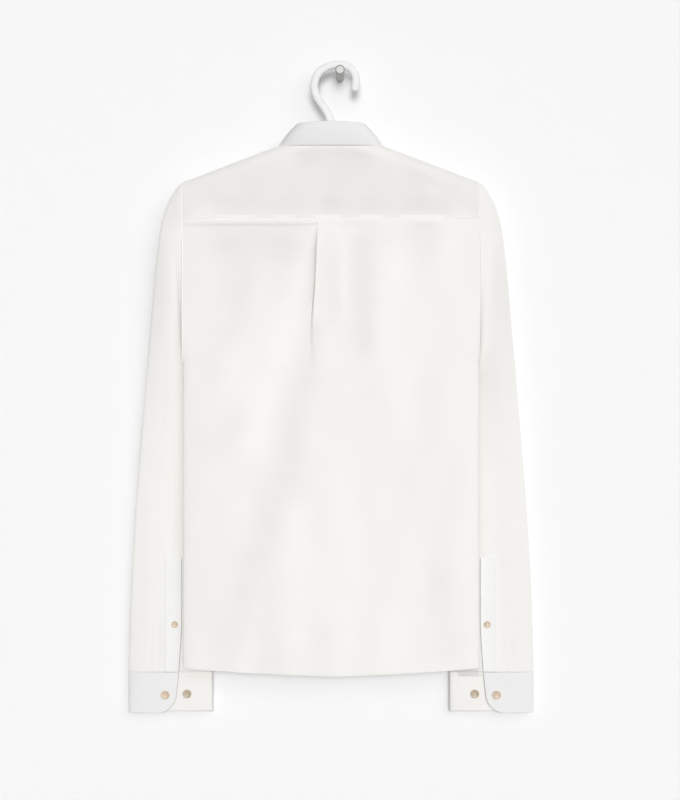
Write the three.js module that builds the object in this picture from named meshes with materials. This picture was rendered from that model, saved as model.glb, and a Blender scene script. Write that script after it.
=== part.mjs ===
// A long-sleeved pique shirt on a plain hanger that hangs from a wall peg, seen from its back.
// Millimetres, +Z up. The wall is the plane y = 0, the shirt's back faces -Y and its front faces the wall.
// The origin is the middle of the peg's back face. The shirt itself is laid out about its own centre
// line, x = 0 in the group named shirt, which stands a little to the left of the peg.
import * as THREE from "three";

// ---------- driving dimensions ----------

const shirtX = -12.1; // the shirt's centre line
const seamGap = 0.3; // between neighbouring pieces
const thick = { panel: 1.2, yoke: 1.4, sleeve: 1.2, collar: 1.7, cuff: 1.9, band: 1.1 };

const torso = {
  halfWidth: 197.8,
  midY: -36,
  centreDepth: 11.4, // half of the front-to-back depth at the middle
  armholeDepth: 8.2, // the same at the armholes
  sideDepth: 1.7, // the same down the side seams
  lineTop: -72.4, // where the two shoulder lines would meet
  slope: 0.3796, // fall of the shoulder line for each millimetre outwards
  ridge: 22, // drop over which the shoulder rounds from its line to full depth
  underarm: -388,
  underarmEase: 60, // drop over which the armhole closes into the side seam
};
const yoke = { seam: -197.2, frontDrop: 30 };
const hem = { middle: -808.2, side: -798.2, frontLift: 4 };
const neck = { halfWidth: 61.5, backTurn: 1.5, frontDrop: 69.3 };
const fold = { halfWidth: 45, side: -73.5, back: -67.5, frontDrop: 64.5, depth: 13 };
const fall = { halfWidth: 69, backZ: -98.9, sideZ: -95.4, backY: -54.5, roll: 3.5 };
const collarTip = { x: 47, y: -18, z: -197 };
const frontBand = { halfWidth: 16, parting: -8, lift: 1.5 };
const gauntlet = { top: 0.841, outer: -224, free: -201.5, freeLow: -205, lift: 1.8 };
const cuff = {
  inner: 160,
  outer: 274,
  top: -806,
  bottom: -860.6,
  underBottom: -858,
  midY: -14,
  depth: 7.6,
  corner: 17,
  freeTop: 205.4,
  freeLow: 208.6,
  underReach: 234,
  step: 2.5, // how far the underlap lies below the overlap
};
const peg = { shaft: 5.1, head: 6.3, length: 50, headLength: 8 };
const hook = { halfThick: 3.8, halfWide: 5.4, y: -36 };
const hanger = { reach: 168, halfThick: 5, halfHeight: 9, neckZ: -92, clear: 3.4 };

// The back's box pleat, by drop below the yoke seam: how far its edges turn under, how long the turned
// run is, and half the width of its face.
const pleat = { x: -6, radius: 0.95, faceShare: 0.4, turnShare: 0.26 };
const pleatRows = [
  { drop: 0, turn: 176, run: 7, edge: 11.4 },
  { drop: 18, turn: 164, run: 4.5, edge: 12.4 },
  { drop: 38, turn: 135, run: 2.5, edge: 14.2 },
  { drop: 62, turn: 100, run: 1.6, edge: 16.6 },
  { drop: 92, turn: 70, run: 2, edge: 18.8 },
  { drop: 125, turn: 45, run: 3, edge: 20.6 },
  { drop: 165, turn: 22, run: 4, edge: 22 },
  { drop: 215, turn: 8, run: 5, edge: 23 },
  { drop: 270, turn: 0, run: 6, edge: 24 },
];

// The largest soft folds, each from one end to the other, with its width and its height.
const backFolds = [
  { x0: -20, z0: -212, x1: -108, z1: -438, wide: 24, high: 2.4 },
  { x0: -82, z0: -222, x1: -140, z1: -330, wide: 32, high: -2 },
  { x0: -2, z0: -560, x1: -82, z1: -735, wide: 36, high: 2.2 },
  { x0: 62, z0: -240, x1: 96, z1: -470, wide: 30, high: 1.6 },
  { x0: 128, z0: -420, x1: 112, z1: -700, wide: 34, high: -1.6 },
];
const frontFolds = [
  { x0: -70, z0: -190, x1: -112, z1: -430, wide: 30, high: 1.8 },
  { x0: 76, z0: -180, x1: 98, z1: -400, wide: 28, high: 1.8 },
  { x0: -60, z0: -520, x1: -96, z1: -760, wide: 36, high: -1.8 },
  { x0: 74, z0: -560, x1: 58, z1: -770, wide: 34, high: 1.6 },
];
const sleeveFolds = [
  { x0: 214, z0: -260, x1: 236, z1: -520, wide: 16, high: 1.4 },
  { x0: 190, z0: -470, x1: 214, z1: -690, wide: 20, high: -1.2 },
  { x0: 240, z0: -560, x1: 246, z1: -760, wide: 12, high: 1.1 },
];

// The sleeve, by ring from the armhole to the cuff: its upper and its lower edge, their depths, and
// half the thickness between.
const sleeveRings = [
  { ox: 198.8, oz: -147.5, ix: 198.8, iz: -388, oy: -36, iy: -36, half: 8.2 },
  { ox: 203.8, oz: -152.5, ix: 200.2, iz: -391.5, oy: -35.8, iy: -34, half: 8 },
  { ox: 211, oz: -162, ix: 201, iz: -395, oy: -35, iy: -30.5, half: 7.6 },
  { ox: 219, oz: -177.5, ix: 201.3, iz: -398, oy: -33.2, iy: -26.5, half: 7 },
  { ox: 226.5, oz: -201, ix: 201.2, iz: -400.5, oy: -30, iy: -22.5, half: 6.3 },
  { ox: 232, oz: -235, ix: 200.6, iz: -403.5, oy: -25.5, iy: -19, half: 5.9 },
  { ox: 237, oz: -282, ix: 199, iz: -408.5, oy: -21, iy: -16, half: 5.8 },
  { ox: 242, oz: -336, ix: 193, iz: -419, oy: -17, iy: -13.8, half: 5.8 },
  { ox: 248, oz: -400, ix: 174, iz: -440, oy: -14.5, iy: -12.3, half: 5.8 },
  { ox: 255, oz: -480, ix: 138, iz: -492, oy: -13, iy: -12, half: 5.9 },
  { ox: 262.6, oz: -574, ix: 117, iz: -579, oy: -12.8, iy: -12.4, half: 6.1 },
  { ox: 268, oz: -655, ix: 127, iz: -657, oy: -13, iy: -13, half: 6.3 },
  { ox: 271.5, oz: -730, ix: 145.5, iz: -732, oy: -13.5, iy: -13.5, half: 6.6 },
  { ox: 273.6, oz: -805.7, ix: 160.4, iz: -805.7, oy: -14, iy: -14, half: 7 },
];
const capBlend = 3; // rings over which the sleeve leaves the armhole's outline
// The hollow beside the armhole's seam, where the sleeve falls back behind the body's edge: it starts at
// the seam, is at its full depth past x, and fades out over reach.
const armholeTrough = { x: 201.6, reach: 25, deep: 8.6, from: -192, to: -260 };

const hookRoute = [
  { x: 0, z: -82.5 },
  { x: -0.5, z: -66 },
  { x: -7, z: -50 },
  { x: -18, z: -34 },
  { x: -22.5, z: -18 },
  { x: -17.5, z: -1.5 },
  { x: -4.5, z: 8.2 },
  { x: 12.1, z: 11 },
  { x: 26.5, z: 5.8 },
  { x: 33, z: -6 },
  { x: 32, z: -22 },
];

const buttonSizes = {
  cuff: { radius: 5.7, height: 2.4 },
  small: { radius: 4.45, height: 2.2 },
};
const frontButtons = { first: -205, pitch: 91, count: 6 };

// ---------- colours and finishes ----------

const finishes = {
  pique: { color: 0xf0eeea, roughness: 0.95, metalness: 0 },
  poplin: { color: 0xf3f4f5, roughness: 0.85, metalness: 0 },
  horn: { color: 0xc9a983, roughness: 0.4, metalness: 0 },
  darkHorn: { color: 0x7a5f48, roughness: 0.4, metalness: 0 },
  plastic: { color: 0xf4f4f4, roughness: 0.35, metalness: 0 },
  metal: { color: 0xc8c8c4, roughness: 0.3, metalness: 1 },
};

// ---------- small helpers ----------

const { lerp, clamp, smoothstep } = THREE.MathUtils;
const power = (value, exponent) => Math.sign(value) * Math.abs(value) ** exponent;

// count + 1 values from a to b.
function steps(a, b, count) {
  return Array.from({ length: count + 1 }, (_, i) => lerp(a, b, i / count));
}

// A row between the rows of a table, on a smooth curve through them; place runs from 0 to the last row.
function between(table, place) {
  const last = table.length - 1;
  const i = clamp(Math.floor(place), 0, last - 1);
  const t = place - i;
  const near = [i - 1, i, i + 1, i + 2].map((k) => table[clamp(k, 0, last)]);
  const row = {};
  for (const name of Object.keys(table[0])) {
    const [a, b, c, d] = near.map((one) => one[name]);
    row[name] = b + (t / 2) * (c - a + t * (2 * a - 5 * b + 4 * c - d + t * (3 * (b - c) + d - a)));
  }
  return row;
}

// The same, for a table that is sorted by one of its columns.
function at(table, column, value) {
  const last = table.length - 1;
  const after = table.findIndex((row) => row[column] >= value);
  const i = after < 0 ? last : Math.max(after, 1);
  const [a, b] = [table[i - 1][column], table[i][column]];
  return between(table, i - 1 + clamp((value - a) / (b - a), 0, 1));
}

// The height of the soft folds at a place: each is highest on its line and fades out to both sides.
function folds(table, x, z) {
  let total = 0;
  for (const { x0, z0, x1, z1, wide, high } of table) {
    const [dx, dz] = [x1 - x0, z1 - z0];
    const t = clamp(((x - x0) * dx + (z - z0) * dz) / (dx * dx + dz * dz), 0, 1);
    const away = Math.hypot(x - x0 - t * dx, z - z0 - t * dz);
    total += high * Math.exp(-((away / wide) ** 2));
  }
  return total;
}

// A wall of cloth. face(u, v) is the middle of the wall, and each skin lies half the thickness from it
// along its normal. A closed wall joins its last column to its first.
function clothWall({ face, columns, rows, wall, closed = false, mirrored = false }) {
  const step = 1e-3;
  const [across, down] = [columns.length, rows.length];
  const skins = [[], []];
  for (const v of rows) {
    for (const u of columns) {
      const along = face(u + step, v).sub(face(u - step, v));
      const normal = along.cross(face(u, v + step).sub(face(u, v - step))).normalize();
      const middle = face(u, v);
      skins[0].push(middle.clone().addScaledVector(normal, wall / 2));
      skins[1].push(middle.addScaledVector(normal, -wall / 2));
    }
  }
  const positions = [...skins[0], ...skins[1]].flatMap((p) => [mirrored ? -p.x : p.x, p.y, p.z]);
  const vertex = (skin, i, j) => skin * across * down + j * across + (i % across);
  const faces = [];
  const quad = (a, b, c, d) => faces.push(a, b, c, a, c, d);
  const spans = closed ? across : across - 1;
  for (let j = 0; j < down - 1; j++) {
    for (let i = 0; i < spans; i++) {
      quad(vertex(0, i, j), vertex(0, i + 1, j), vertex(0, i + 1, j + 1), vertex(0, i, j + 1));
      quad(vertex(1, i, j), vertex(1, i, j + 1), vertex(1, i + 1, j + 1), vertex(1, i + 1, j));
    }
  }
  for (let i = 0; i < spans; i++) {
    const [next, end] = [i + 1, down - 1];
    quad(vertex(0, next, 0), vertex(0, i, 0), vertex(1, i, 0), vertex(1, next, 0));
    quad(vertex(0, i, end), vertex(0, next, end), vertex(1, next, end), vertex(1, i, end));
  }
  if (!closed) {
    for (let j = 0; j < down - 1; j++) {
      const last = across - 1;
      quad(vertex(0, 0, j), vertex(0, 0, j + 1), vertex(1, 0, j + 1), vertex(1, 0, j));
      quad(vertex(0, last, j + 1), vertex(0, last, j), vertex(1, last, j), vertex(1, last, j + 1));
    }
  }
  if (mirrored) faces.reverse();
  const geometry = new THREE.BufferGeometry();
  geometry.setAttribute("position", new THREE.Float32BufferAttribute(positions, 3));
  geometry.setIndex(faces);
  geometry.computeVertexNormals();
  return geometry;
}

const shirt = new THREE.Group();
shirt.name = "shirt";
shirt.position.x = shirtX;
const part = new THREE.Group();
part.add(shirt);

function addMesh(group, name, finish, geometry) {
  const mesh = new THREE.Mesh(geometry, new THREE.MeshStandardMaterial(finishes[finish]));
  mesh.name = name;
  group.add(mesh);
  return mesh;
}

// ---------- the torso's form ----------

const shoulderZ = (x) => torso.lineTop - torso.slope * Math.abs(x);

// The rounding over the shoulder: turn 0 is on the shoulder line, and past a quarter turn it is straight.
const quarter = Math.PI / 2;
const turnDrop = (turn) => {
  const t = Math.abs(turn);
  return torso.ridge * (t < quarter ? 1 - Math.cos(t) : 1 + t - quarter);
};
const turnDepth = (turn) => (Math.abs(turn) < quarter ? Math.sin(turn) : Math.sign(turn));
const turnAt = (drop) => {
  const share = Math.max(drop, 0) / torso.ridge;
  return share < 1 ? Math.acos(1 - share) : quarter + share - 1;
};

// Half of the depth at the armhole, which closes to the side seam under the arm.
function armholeDepth(z, least) {
  const share = clamp((z - torso.underarm) / torso.underarmEase, 0, 1);
  return Math.max(least, torso.armholeDepth * Math.sqrt(1 - (1 - share) ** 2));
}

function torsoDepth(x, z) {
  const q = Math.min(Math.abs(x) / torso.halfWidth, 1) ** 4;
  const side = armholeDepth(z, torso.sideDepth);
  return Math.sqrt(torso.centreDepth ** 2 * (1 - q) + side ** 2 * q);
}

// A point of the torso by turn round the shoulder (negative at the back), and by height.
function torsoByTurn(x, turn) {
  const z = shoulderZ(x) - turnDrop(turn);
  return new THREE.Vector3(x, torso.midY + turnDepth(turn) * torsoDepth(x, z), z);
}

function torsoY(x, z, side) {
  return torso.midY + side * Math.sin(Math.min(turnAt(shoulderZ(x) - z), quarter)) * torsoDepth(x, z);
}

function hemZ(x) {
  const share = (Math.abs(x) / torso.halfWidth) ** 1.3;
  return lerp(hem.middle, hem.side, share);
}

// ---------- back with its box pleat ----------

// The pleat's section at one drop: k from 0 at its middle to 1 past its edge. The face runs level, turns
// under at its edge, runs back, and turns again into the panel. Where the turn has nearly gone, the
// section becomes an even slope.
function pleatSection(k, drop) {
  const row = at(pleatRows, "drop", drop);
  const angle = THREE.MathUtils.degToRad(Math.max(row.turn, 0.01));
  const { radius, faceShare, turnShare } = pleat;
  const start = row.edge - radius;
  const runShare = 1 - faceShare - 2 * turnShare;
  const a = clamp((k - faceShare) / turnShare, 0, 1) * angle;
  const b = clamp((k - 1 + turnShare) / turnShare, 0, 1) * angle;
  const run = clamp((k - faceShare - turnShare) / runShare, 0, 1) * row.run;
  const face = start * Math.min(k / faceShare, 1);
  const x = face + radius * (Math.sin(a) + Math.sin(angle) - Math.sin(angle - b)) + run * Math.cos(angle);
  const turns = 1 - Math.cos(a) + Math.cos(angle - b) - Math.cos(angle);
  const fallen = radius * turns + run * Math.sin(angle);
  const end = start + 2 * radius * Math.sin(angle) + row.run * Math.cos(angle);
  const lift = 2 * radius * (1 - Math.cos(angle)) + row.run * Math.sin(angle);
  const turned = smoothstep(angle, 0.05, 0.6);
  return {
    x: lerp(end * k, x, turned),
    lift: lift - lerp(lift * smoothstep(k, 0.25, 1), fallen, turned),
  };
}

function backFace(u, v) {
  const top = yoke.seam - seamGap;
  const drop = v * (top - hem.middle);
  const inPleat = 0.5;
  const { x: offset, lift } = pleatSection(Math.min(Math.abs(u) / inPleat, 1), drop);
  const beyond = Math.max(Math.abs(u) - inPleat, 0) / (1 - inPleat);
  const side = Math.sign(u) || 1;
  const x = lerp(pleat.x + side * offset, side * torso.halfWidth, beyond);
  const z = lerp(top, hemZ(x), v);
  const soft = smoothstep(top - z, 0, 60) * folds(backFolds, x, z);
  return new THREE.Vector3(x, torsoY(x, z, -1) - lift - soft * (1 - beyond ** 6), z);
}

const pleatColumns = [0.1, 0.2, 0.265, 0.3, 0.33, 0.37, 0.405, 0.435, 0.47, 0.5];
const sideColumns = [0.58, 0.67, 0.76, 0.85, 0.92, 0.97, 1];
const halfColumns = [...pleatColumns, ...sideColumns];
const backColumns = [...halfColumns.map((u) => -u).reverse(), 0, ...halfColumns];
const backRows = steps(0, 1, 18).map((v) => v ** 1.5);
addMesh(
  shirt,
  "back",
  "pique",
  clothWall({ face: backFace, columns: backColumns, rows: backRows, wall: thick.panel }),
);

// ---------- yoke ----------

// The neck's outline, by place from 0 at the middle of the back, through 1 at the shoulder line, to 2 at
// the middle of the front, as x and turn.
function neckAt(place) {
  if (place <= 1) {
    const back = 1 - place;
    return { x: neck.halfWidth * (1 - Math.abs(back) ** 1.6), turn: -neck.backTurn * back };
  }
  const angle = (place - 1) * quarter;
  const x = neck.halfWidth * Math.cos(angle);
  const z = shoulderZ(neck.halfWidth) - neck.frontDrop * Math.sin(angle);
  return { x, turn: turnAt(shoulderZ(x) - z) };
}

const yokeFrontPlace = 1.26; // where the front yoke seam meets the neck
// The yoke's outer edge, by place from 0 at the middle of the back: along the seam to the armhole, up
// to the shoulder line, and down to the front seam.
const yokeCorner = 1 / 2;
const yokeShoulder = 3 / 4;
function yokeEdge(place) {
  const wide = torso.halfWidth;
  const corner = -turnAt(shoulderZ(wide) - yoke.seam);
  if (place < yokeCorner) {
    const x = (wide * place) / yokeCorner;
    return { x, turn: -turnAt(shoulderZ(x) - yoke.seam) };
  }
  if (place < yokeShoulder) {
    const t = (place - yokeCorner) / (yokeShoulder - yokeCorner);
    return { x: wide, turn: lerp(corner, 0, t) };
  }
  const t = (place - yokeShoulder) / (1 - yokeShoulder);
  return { x: wide, turn: lerp(0, turnAt(yoke.frontDrop), t) };
}

// u goes from the left front seam round the back to the right one, and v from the neck to the edge.
function yokeFace(u, v) {
  const place = Math.abs(u);
  const side = Math.sign(u) || 1;
  const neckPlace =
    place < yokeShoulder
      ? place / yokeShoulder
      : lerp(1, yokeFrontPlace, (place - yokeShoulder) / (1 - yokeShoulder));
  const inner = neckAt(neckPlace);
  const outer = yokeEdge(place);
  const point = torsoByTurn(lerp(inner.x, outer.x, v), lerp(inner.turn, outer.turn, v));
  point.x *= side;
  return point;
}

const yokeHalf = [
  ...steps(0, yokeCorner, 7).slice(1),
  ...steps(yokeCorner, yokeShoulder, 5).slice(1),
  ...steps(yokeShoulder, 1, 5).slice(1),
];
const yokeColumns = [...yokeHalf.map((u) => -u).reverse(), 0, ...yokeHalf];
addMesh(
  shirt,
  "yoke",
  "pique",
  clothWall({ face: yokeFace, columns: yokeColumns, rows: steps(0.012, 1, 9), wall: thick.yoke }),
);

// ---------- fronts, and the band that carries the buttonholes ----------

function frontTopZ(x) {
  const reach = Math.min(Math.abs(x) / neck.halfWidth, 1);
  const neckZ = shoulderZ(neck.halfWidth) - neck.frontDrop * Math.sqrt(1 - reach ** 2);
  return Math.min(neckZ, shoulderZ(x) - yoke.frontDrop) - seamGap;
}

function frontPoint(x, v) {
  const top = frontTopZ(x);
  const z = lerp(top, hemZ(x) + hem.frontLift, v);
  const edge = clamp((torso.halfWidth - Math.abs(x)) / 20, 0, 1);
  const soft = smoothstep(top - z, 0, 60) * edge * folds(frontFolds, x, z);
  return new THREE.Vector3(x, torsoY(x, z, 1) + soft, z);
}

const frontRows = steps(0, 1, 17).map((v) => v ** 1.25);
const frontSpan = [0, 0.06, 0.13, 0.2, 0.27, 0.35, 0.45, 0.56, 0.68, 0.8, 0.9, 0.96, 1];
const fronts = [
  { name: "front_left", from: frontBand.parting - seamGap, to: -torso.halfWidth },
  { name: "front_right", from: frontBand.parting, to: torso.halfWidth },
];
for (const { name, from, to } of fronts) {
  const face = (u, v) => frontPoint(lerp(from, to, u), v);
  addMesh(
    shirt,
    name,
    "pique",
    clothWall({ face, columns: frontSpan, rows: frontRows, wall: thick.panel }),
  );
}

// The front's own points, moved out.
function frontBandFace(u, v) {
  const point = frontPoint(u * frontBand.halfWidth, lerp(0, 0.998, v));
  point.y += frontBand.lift;
  return point;
}
addMesh(
  shirt,
  "front_band",
  "pique",
  clothWall({
    face: frontBandFace,
    columns: steps(-1, 1, 4),
    rows: frontRows,
    wall: thick.band,
  }),
);

// ---------- collar ----------

// The stand's lower edge, on the neck's outline.
function seamPoint(place) {
  const { x, turn } = neckAt(place);
  return torsoByTurn(x, turn);
}

// The line where the collar folds over, by the same places as the neck's outline.
function foldPoint(place) {
  if (place <= 1) {
    const x = fold.halfWidth * (1 - Math.abs(1 - place) ** 1.6);
    const share = (x / fold.halfWidth) ** 4;
    const y = torso.midY - fold.depth * Math.sqrt(Math.max(1 - share, 0));
    return new THREE.Vector3(x, y, lerp(fold.back, fold.side, share));
  }
  const angle = (place - 1) * quarter;
  const y = torso.midY + fold.depth * Math.sqrt(1 - Math.cos(angle) ** 6);
  return new THREE.Vector3(
    fold.halfWidth * Math.cos(angle),
    y,
    fold.side - fold.frontDrop * Math.sin(angle) ** 1.4,
  );
}

// The fall's free edge: round the back just over the yoke, over the shoulder and down to the tip.
const fallFront = [
  { x: 69, y: -36, z: -95.4 },
  { x: 73.5, y: -26.5, z: -101 },
  { x: 75, y: -20, z: -115 },
  { x: 70.5, y: -18, z: -140 },
  { x: 60, y: -17.5, z: -167 },
  { x: collarTip.x, y: collarTip.y, z: collarTip.z },
];
function fallEdge(place) {
  if (place <= 1) {
    const x = fall.halfWidth * (1 - Math.abs(1 - place) ** 1.8);
    const share = (x / fall.halfWidth) ** 5;
    const y = torso.midY + (fall.backY - torso.midY) * Math.sqrt(Math.max(1 - share, 0));
    return new THREE.Vector3(x, y, lerp(fall.backZ, fall.sideZ, share));
  }
  const { x, y, z } = between(fallFront, (place - 1) * (fallFront.length - 1));
  return new THREE.Vector3(x, y, z);
}

const standClear = 2 * seamGap + thick.yoke / 2;
const standTop = 4.6; // how far the stand ends below the fold
const standLap = { from: 1.7, along: 11, apart: 1.3 }; // its ends, one over the other at the front
const endsFrom = 1.5; // the place past which the stand and the fall narrow towards their front ends
const collarBack = steps(0, 1, 9).map((t) => 1 - (1 - t) ** 1.3);
const collarFront = steps(0, 1, 9).map((t) => 1 + t ** 1.25);
const collarHalf = [...collarBack.slice(1), ...collarFront.slice(1)];
const collarColumns = [...collarHalf.map((u) => -u).reverse(), 0, ...collarHalf];

// u goes from the right end at the front, round the back, to the left end, and v from the neck seam up
// to the fold. At the front the wearer's left end lies over the right one.
function standFace(u, v) {
  const place = Math.min(Math.abs(u), 2);
  const side = Math.sign(u) || 1;
  const low = seamPoint(place);
  const high = foldPoint(place);
  const rise = high.clone().sub(low);
  const ends = smoothstep(place, endsFrom, standLap.from) * standTop;
  const share = lerp(standClear, rise.length() - standTop - ends, v) / rise.length();
  const point = low.addScaledVector(rise, share);
  const over = smoothstep(place, standLap.from, 2);
  point.x = side * (point.x - standLap.along * over);
  point.y -= side * standLap.apart * over;
  return point;
}
addMesh(
  shirt,
  "collar_stand",
  "poplin",
  clothWall({ face: standFace, columns: collarColumns, rows: steps(0, 1, 3), wall: thick.collar }),
);

// v rises from the stand's top, rolls over the fold and then runs down to the free edge.
const riseShare = 0.08;
const rollShare = 0.44;
const crownHeight = 1.2; // of the fall between its roll and its free edge
const spread = { from: 1.75, wide: 4 }; // of the fall's two ends, where they leave room for the stand
function fallFace(u, v) {
  const place = Math.min(Math.abs(u), 2);
  const side = Math.sign(u) || 1;
  const top = foldPoint(place);
  const step = 0.01;
  const ahead = foldPoint(Math.min(place + step, 2)).sub(foldPoint(Math.max(place - step, 0)));
  const rise = top.clone().sub(seamPoint(place)).normalize();
  const out = ahead.cross(rise).normalize();
  const radius = fall.roll - thick.collar / 2;
  const turned = clamp((v - riseShare) / (rollShare - riseShare), 0, 1) * Math.PI;
  const point = top.clone().addScaledVector(out, radius * (1 - Math.cos(turned)));
  const inner = (standTop - 2 * seamGap - radius) * (1 - smoothstep(place, endsFrom, standLap.from));
  const below = Math.max(1 - v / riseShare, 0) * inner;
  point.addScaledVector(rise, radius * (Math.sin(turned) - 1) - below);
  const down = clamp((v - rollShare) / (1 - rollShare), 0, 1);
  const edge = fallEdge(place);
  const crown = Math.sin(down * Math.PI) * crownHeight;
  point.lerp(edge, down).addScaledVector(out, crown);
  const front = smoothstep(place, spread.from, 2) * spread.wide;
  point.x = side * (point.x + front * (1 - down));
  return point;
}
const fallRows = [0, riseShare, 0.17, 0.26, 0.35, rollShare, 0.6, 0.8, 1];
addMesh(
  shirt,
  "collar_fall",
  "poplin",
  clothWall({ face: fallFace, columns: collarColumns, rows: fallRows, wall: thick.collar }),
);

// ---------- sleeves ----------

// A point of a sleeve's wall: v from 0 at the armhole to 1 at the cuff, angle 0 on the upper edge,
// a half turn on the lower one, and between them the side that faces away from the wall.
function sleeveFace(angle, v) {
  const place = v * (sleeveRings.length - 1);
  const ring = between(sleeveRings, place);
  const f = (1 - Math.cos(angle)) / 2;
  const x = lerp(ring.ox, ring.ix, f);
  const z = lerp(ring.oz, ring.iz, f);
  const away = Math.sign(Math.sin(angle)) || 0;
  const round = ring.half * Math.abs(Math.sin(angle)) ** 0.62;
  const cap = Math.sin(Math.min(turnAt(ring.oz - z), quarter));
  const hole = cap * armholeDepth(z + (torso.underarm - ring.iz), 0);
  const half = lerp(hole, round, smoothstep(place, 0, capBlend));
  const ease = smoothstep(v, 0.3, 0.5) * (1 - smoothstep(v, 0.92, 1));
  const soft = ease * Math.abs(Math.sin(angle)) * folds(sleeveFolds, x, z);
  const trough = armholeTrough;
  const beside = Math.min(place / 0.5, 1) * (1 - smoothstep(x, trough.x, trough.x + trough.reach));
  const fallen = smoothstep(trough.from - z, 0, trough.from - trough.to) * Math.max(Math.sin(angle), 0) ** 0.4;
  const room = Math.max(2 * half - 2 * thick.sleeve, 0);
  const sunk = Math.min(trough.deep * beside * fallen * (1 - smoothstep(place, 2, 5)), room);
  return new THREE.Vector3(x, lerp(ring.oy, ring.iy, f) - away * (half + soft) + sunk, z);
}

const sleeveColumns = steps(0, 2 * Math.PI, 22).slice(0, -1);
const lastRing = sleeveRings.length - 1;
const sleeveRows = [0, 0.2, 0.5, ...steps(1, 11, 20), 11.7, 12.4, lastRing].map((place) => place / lastRing);

// The placket on the sleeve: the sleeve's own points between two lines, moved out.
function gauntletFace(u, v) {
  const along = lerp(gauntlet.top, 0.999, v);
  const ring = between(sleeveRings, along * (sleeveRings.length - 1));
  const free = lerp(gauntlet.free, gauntlet.freeLow, smoothstep(v, 0.55, 1));
  const x = -lerp(gauntlet.outer, free, u);
  const angle = Math.acos(1 - (2 * (x - ring.ox)) / (ring.ix - ring.ox));
  const point = sleeveFace(angle, along);
  point.y -= gauntlet.lift;
  return point;
}

const sides = [
  { name: "left", mirrored: true },
  { name: "right", mirrored: false },
];
for (const { name, mirrored } of sides) {
  addMesh(
    shirt,
    `sleeve_${name}`,
    "pique",
    clothWall({
      face: sleeveFace,
      columns: sleeveColumns,
      rows: sleeveRows,
      wall: thick.sleeve,
      closed: true,
      mirrored,
    }),
  );
  addMesh(
    shirt,
    `sleeve_placket_${name}`,
    "poplin",
    clothWall({
      face: gauntletFace,
      columns: steps(0, 1, 3),
      rows: steps(0, 1, 8),
      wall: thick.band,
      mirrored,
    }),
  );
}

// ---------- cuffs ----------

const cuffMid = (cuff.inner + cuff.outer) / 2;
const cuffHalf = (cuff.outer - cuff.inner) / 2;

// A point of a cuff's wall: angle 0 on the inner folded edge, a quarter turn on the side that faces
// away from the wall, a half turn on the outer folded edge.
function cuffPoint(angle, z, inset = 0) {
  const x = cuffMid - (cuffHalf - thick.cuff / 2) * power(Math.cos(angle), 0.8);
  const y = cuff.midY - (cuff.depth - inset) * power(Math.sin(angle), 0.7);
  return new THREE.Vector3(x, y, z);
}
const cuffAngle = (x) => Math.acos(power((cuffMid - x) / (cuffHalf - thick.cuff / 2), 1 / 0.8));

// The overlap's free edge, with its round corner.
function freeEdge(z) {
  const low = cuff.bottom + cuff.corner;
  const lean = lerp(cuff.freeTop, cuff.freeLow, clamp((cuff.top - z) / (cuff.top - low), 0, 1));
  const below = clamp((low - z) / cuff.corner, 0, 0.985);
  return lean + cuff.corner * (1 - Math.sqrt(1 - below ** 2));
}

function cuffFace(u, v) {
  const z = lerp(cuff.top, cuff.bottom, v);
  return cuffPoint(lerp(cuffAngle(freeEdge(z)), 2 * Math.PI - 0.02, u), z);
}

function underlapFace(u, v) {
  const z = lerp(cuff.top, cuff.underBottom, v);
  const angle = lerp(0.02, cuffAngle(cuff.underReach), u);
  return cuffPoint(angle, z, cuff.step * smoothstep(angle, 0, 0.9));
}

for (const { name, mirrored } of sides) {
  const rows = [0, 0.2, 0.4, 0.6, 0.7, 0.78, 0.86, 0.93, 1];
  const wall = thick.cuff;
  const bands = [
    { piece: "cuff", finish: "poplin", face: cuffFace, columns: steps(0, 1, 18), rows },
    { piece: "cuff_underlap", finish: "pique", face: underlapFace, columns: steps(0, 1, 8), rows: steps(0, 1, 3) },
  ];
  for (const band of bands) {
    addMesh(
      shirt,
      `${band.piece}_${name}`,
      band.finish,
      clothWall({ face: band.face, columns: band.columns, rows: band.rows, wall, mirrored }),
    );
  }
}

// ---------- buttons ----------

// A disc with a raised rim and a shallow well, turned about Y, with its flat back at y = 0.
function buttonGeometry({ radius, height }) {
  const profile = [
    [0, 0],
    [radius * 0.82, 0],
    [radius, -height * 0.45],
    [radius * 0.9, -height],
    [radius * 0.62, -height * 0.72],
    [0, -height * 0.68],
  ];
  const points = profile.map(([r, y]) => new THREE.Vector2(r, y)).reverse();
  return new THREE.LatheGeometry(points, 12);
}

function addButton(name, finish, size, x, y, z, facing) {
  const mesh = addMesh(shirt, name, finish, buttonGeometry(buttonSizes[size]));
  mesh.position.set(x, y, z);
  if (facing > 0) mesh.rotation.z = Math.PI;
}

const buttonGap = 0.5; // the thread's length between a button's back and the cloth
const cuffFront = cuff.midY - cuff.depth - thick.cuff / 2 - buttonGap;
const placketFront = -23.3;
for (const side of [-1, 1]) {
  const name = side < 0 ? "left" : "right";
  addButton(`button_cuff_${name}`, "horn", "cuff", side * 223.4, cuffFront, -836.1, -1);
  addButton(`button_spare_${name}`, "darkHorn", "cuff", side * 194.2, cuffFront + cuff.step, -834.9, -1);
  addButton(`button_placket_${name}`, "horn", "small", side * 210.7, placketFront, -740.9, -1);
}

const bandFront = frontBand.lift + thick.band / 2 + buttonGap;
for (let i = 0; i < frontButtons.count; i++) {
  const z = frontButtons.first - i * frontButtons.pitch;
  const y = torsoY(0, z, 1) + folds(frontFolds, 0, z) + bandFront;
  addButton(`button_front_${i + 1}`, "horn", "cuff", 0, y, z, 1);
}
const collarButton = standFace(-2, 0.5);
const collarButtonY = collarButton.y + thick.collar / 2 + buttonGap;
addButton("button_collar", "horn", "cuff", 0, collarButtonY, collarButton.z, 1);

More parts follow.
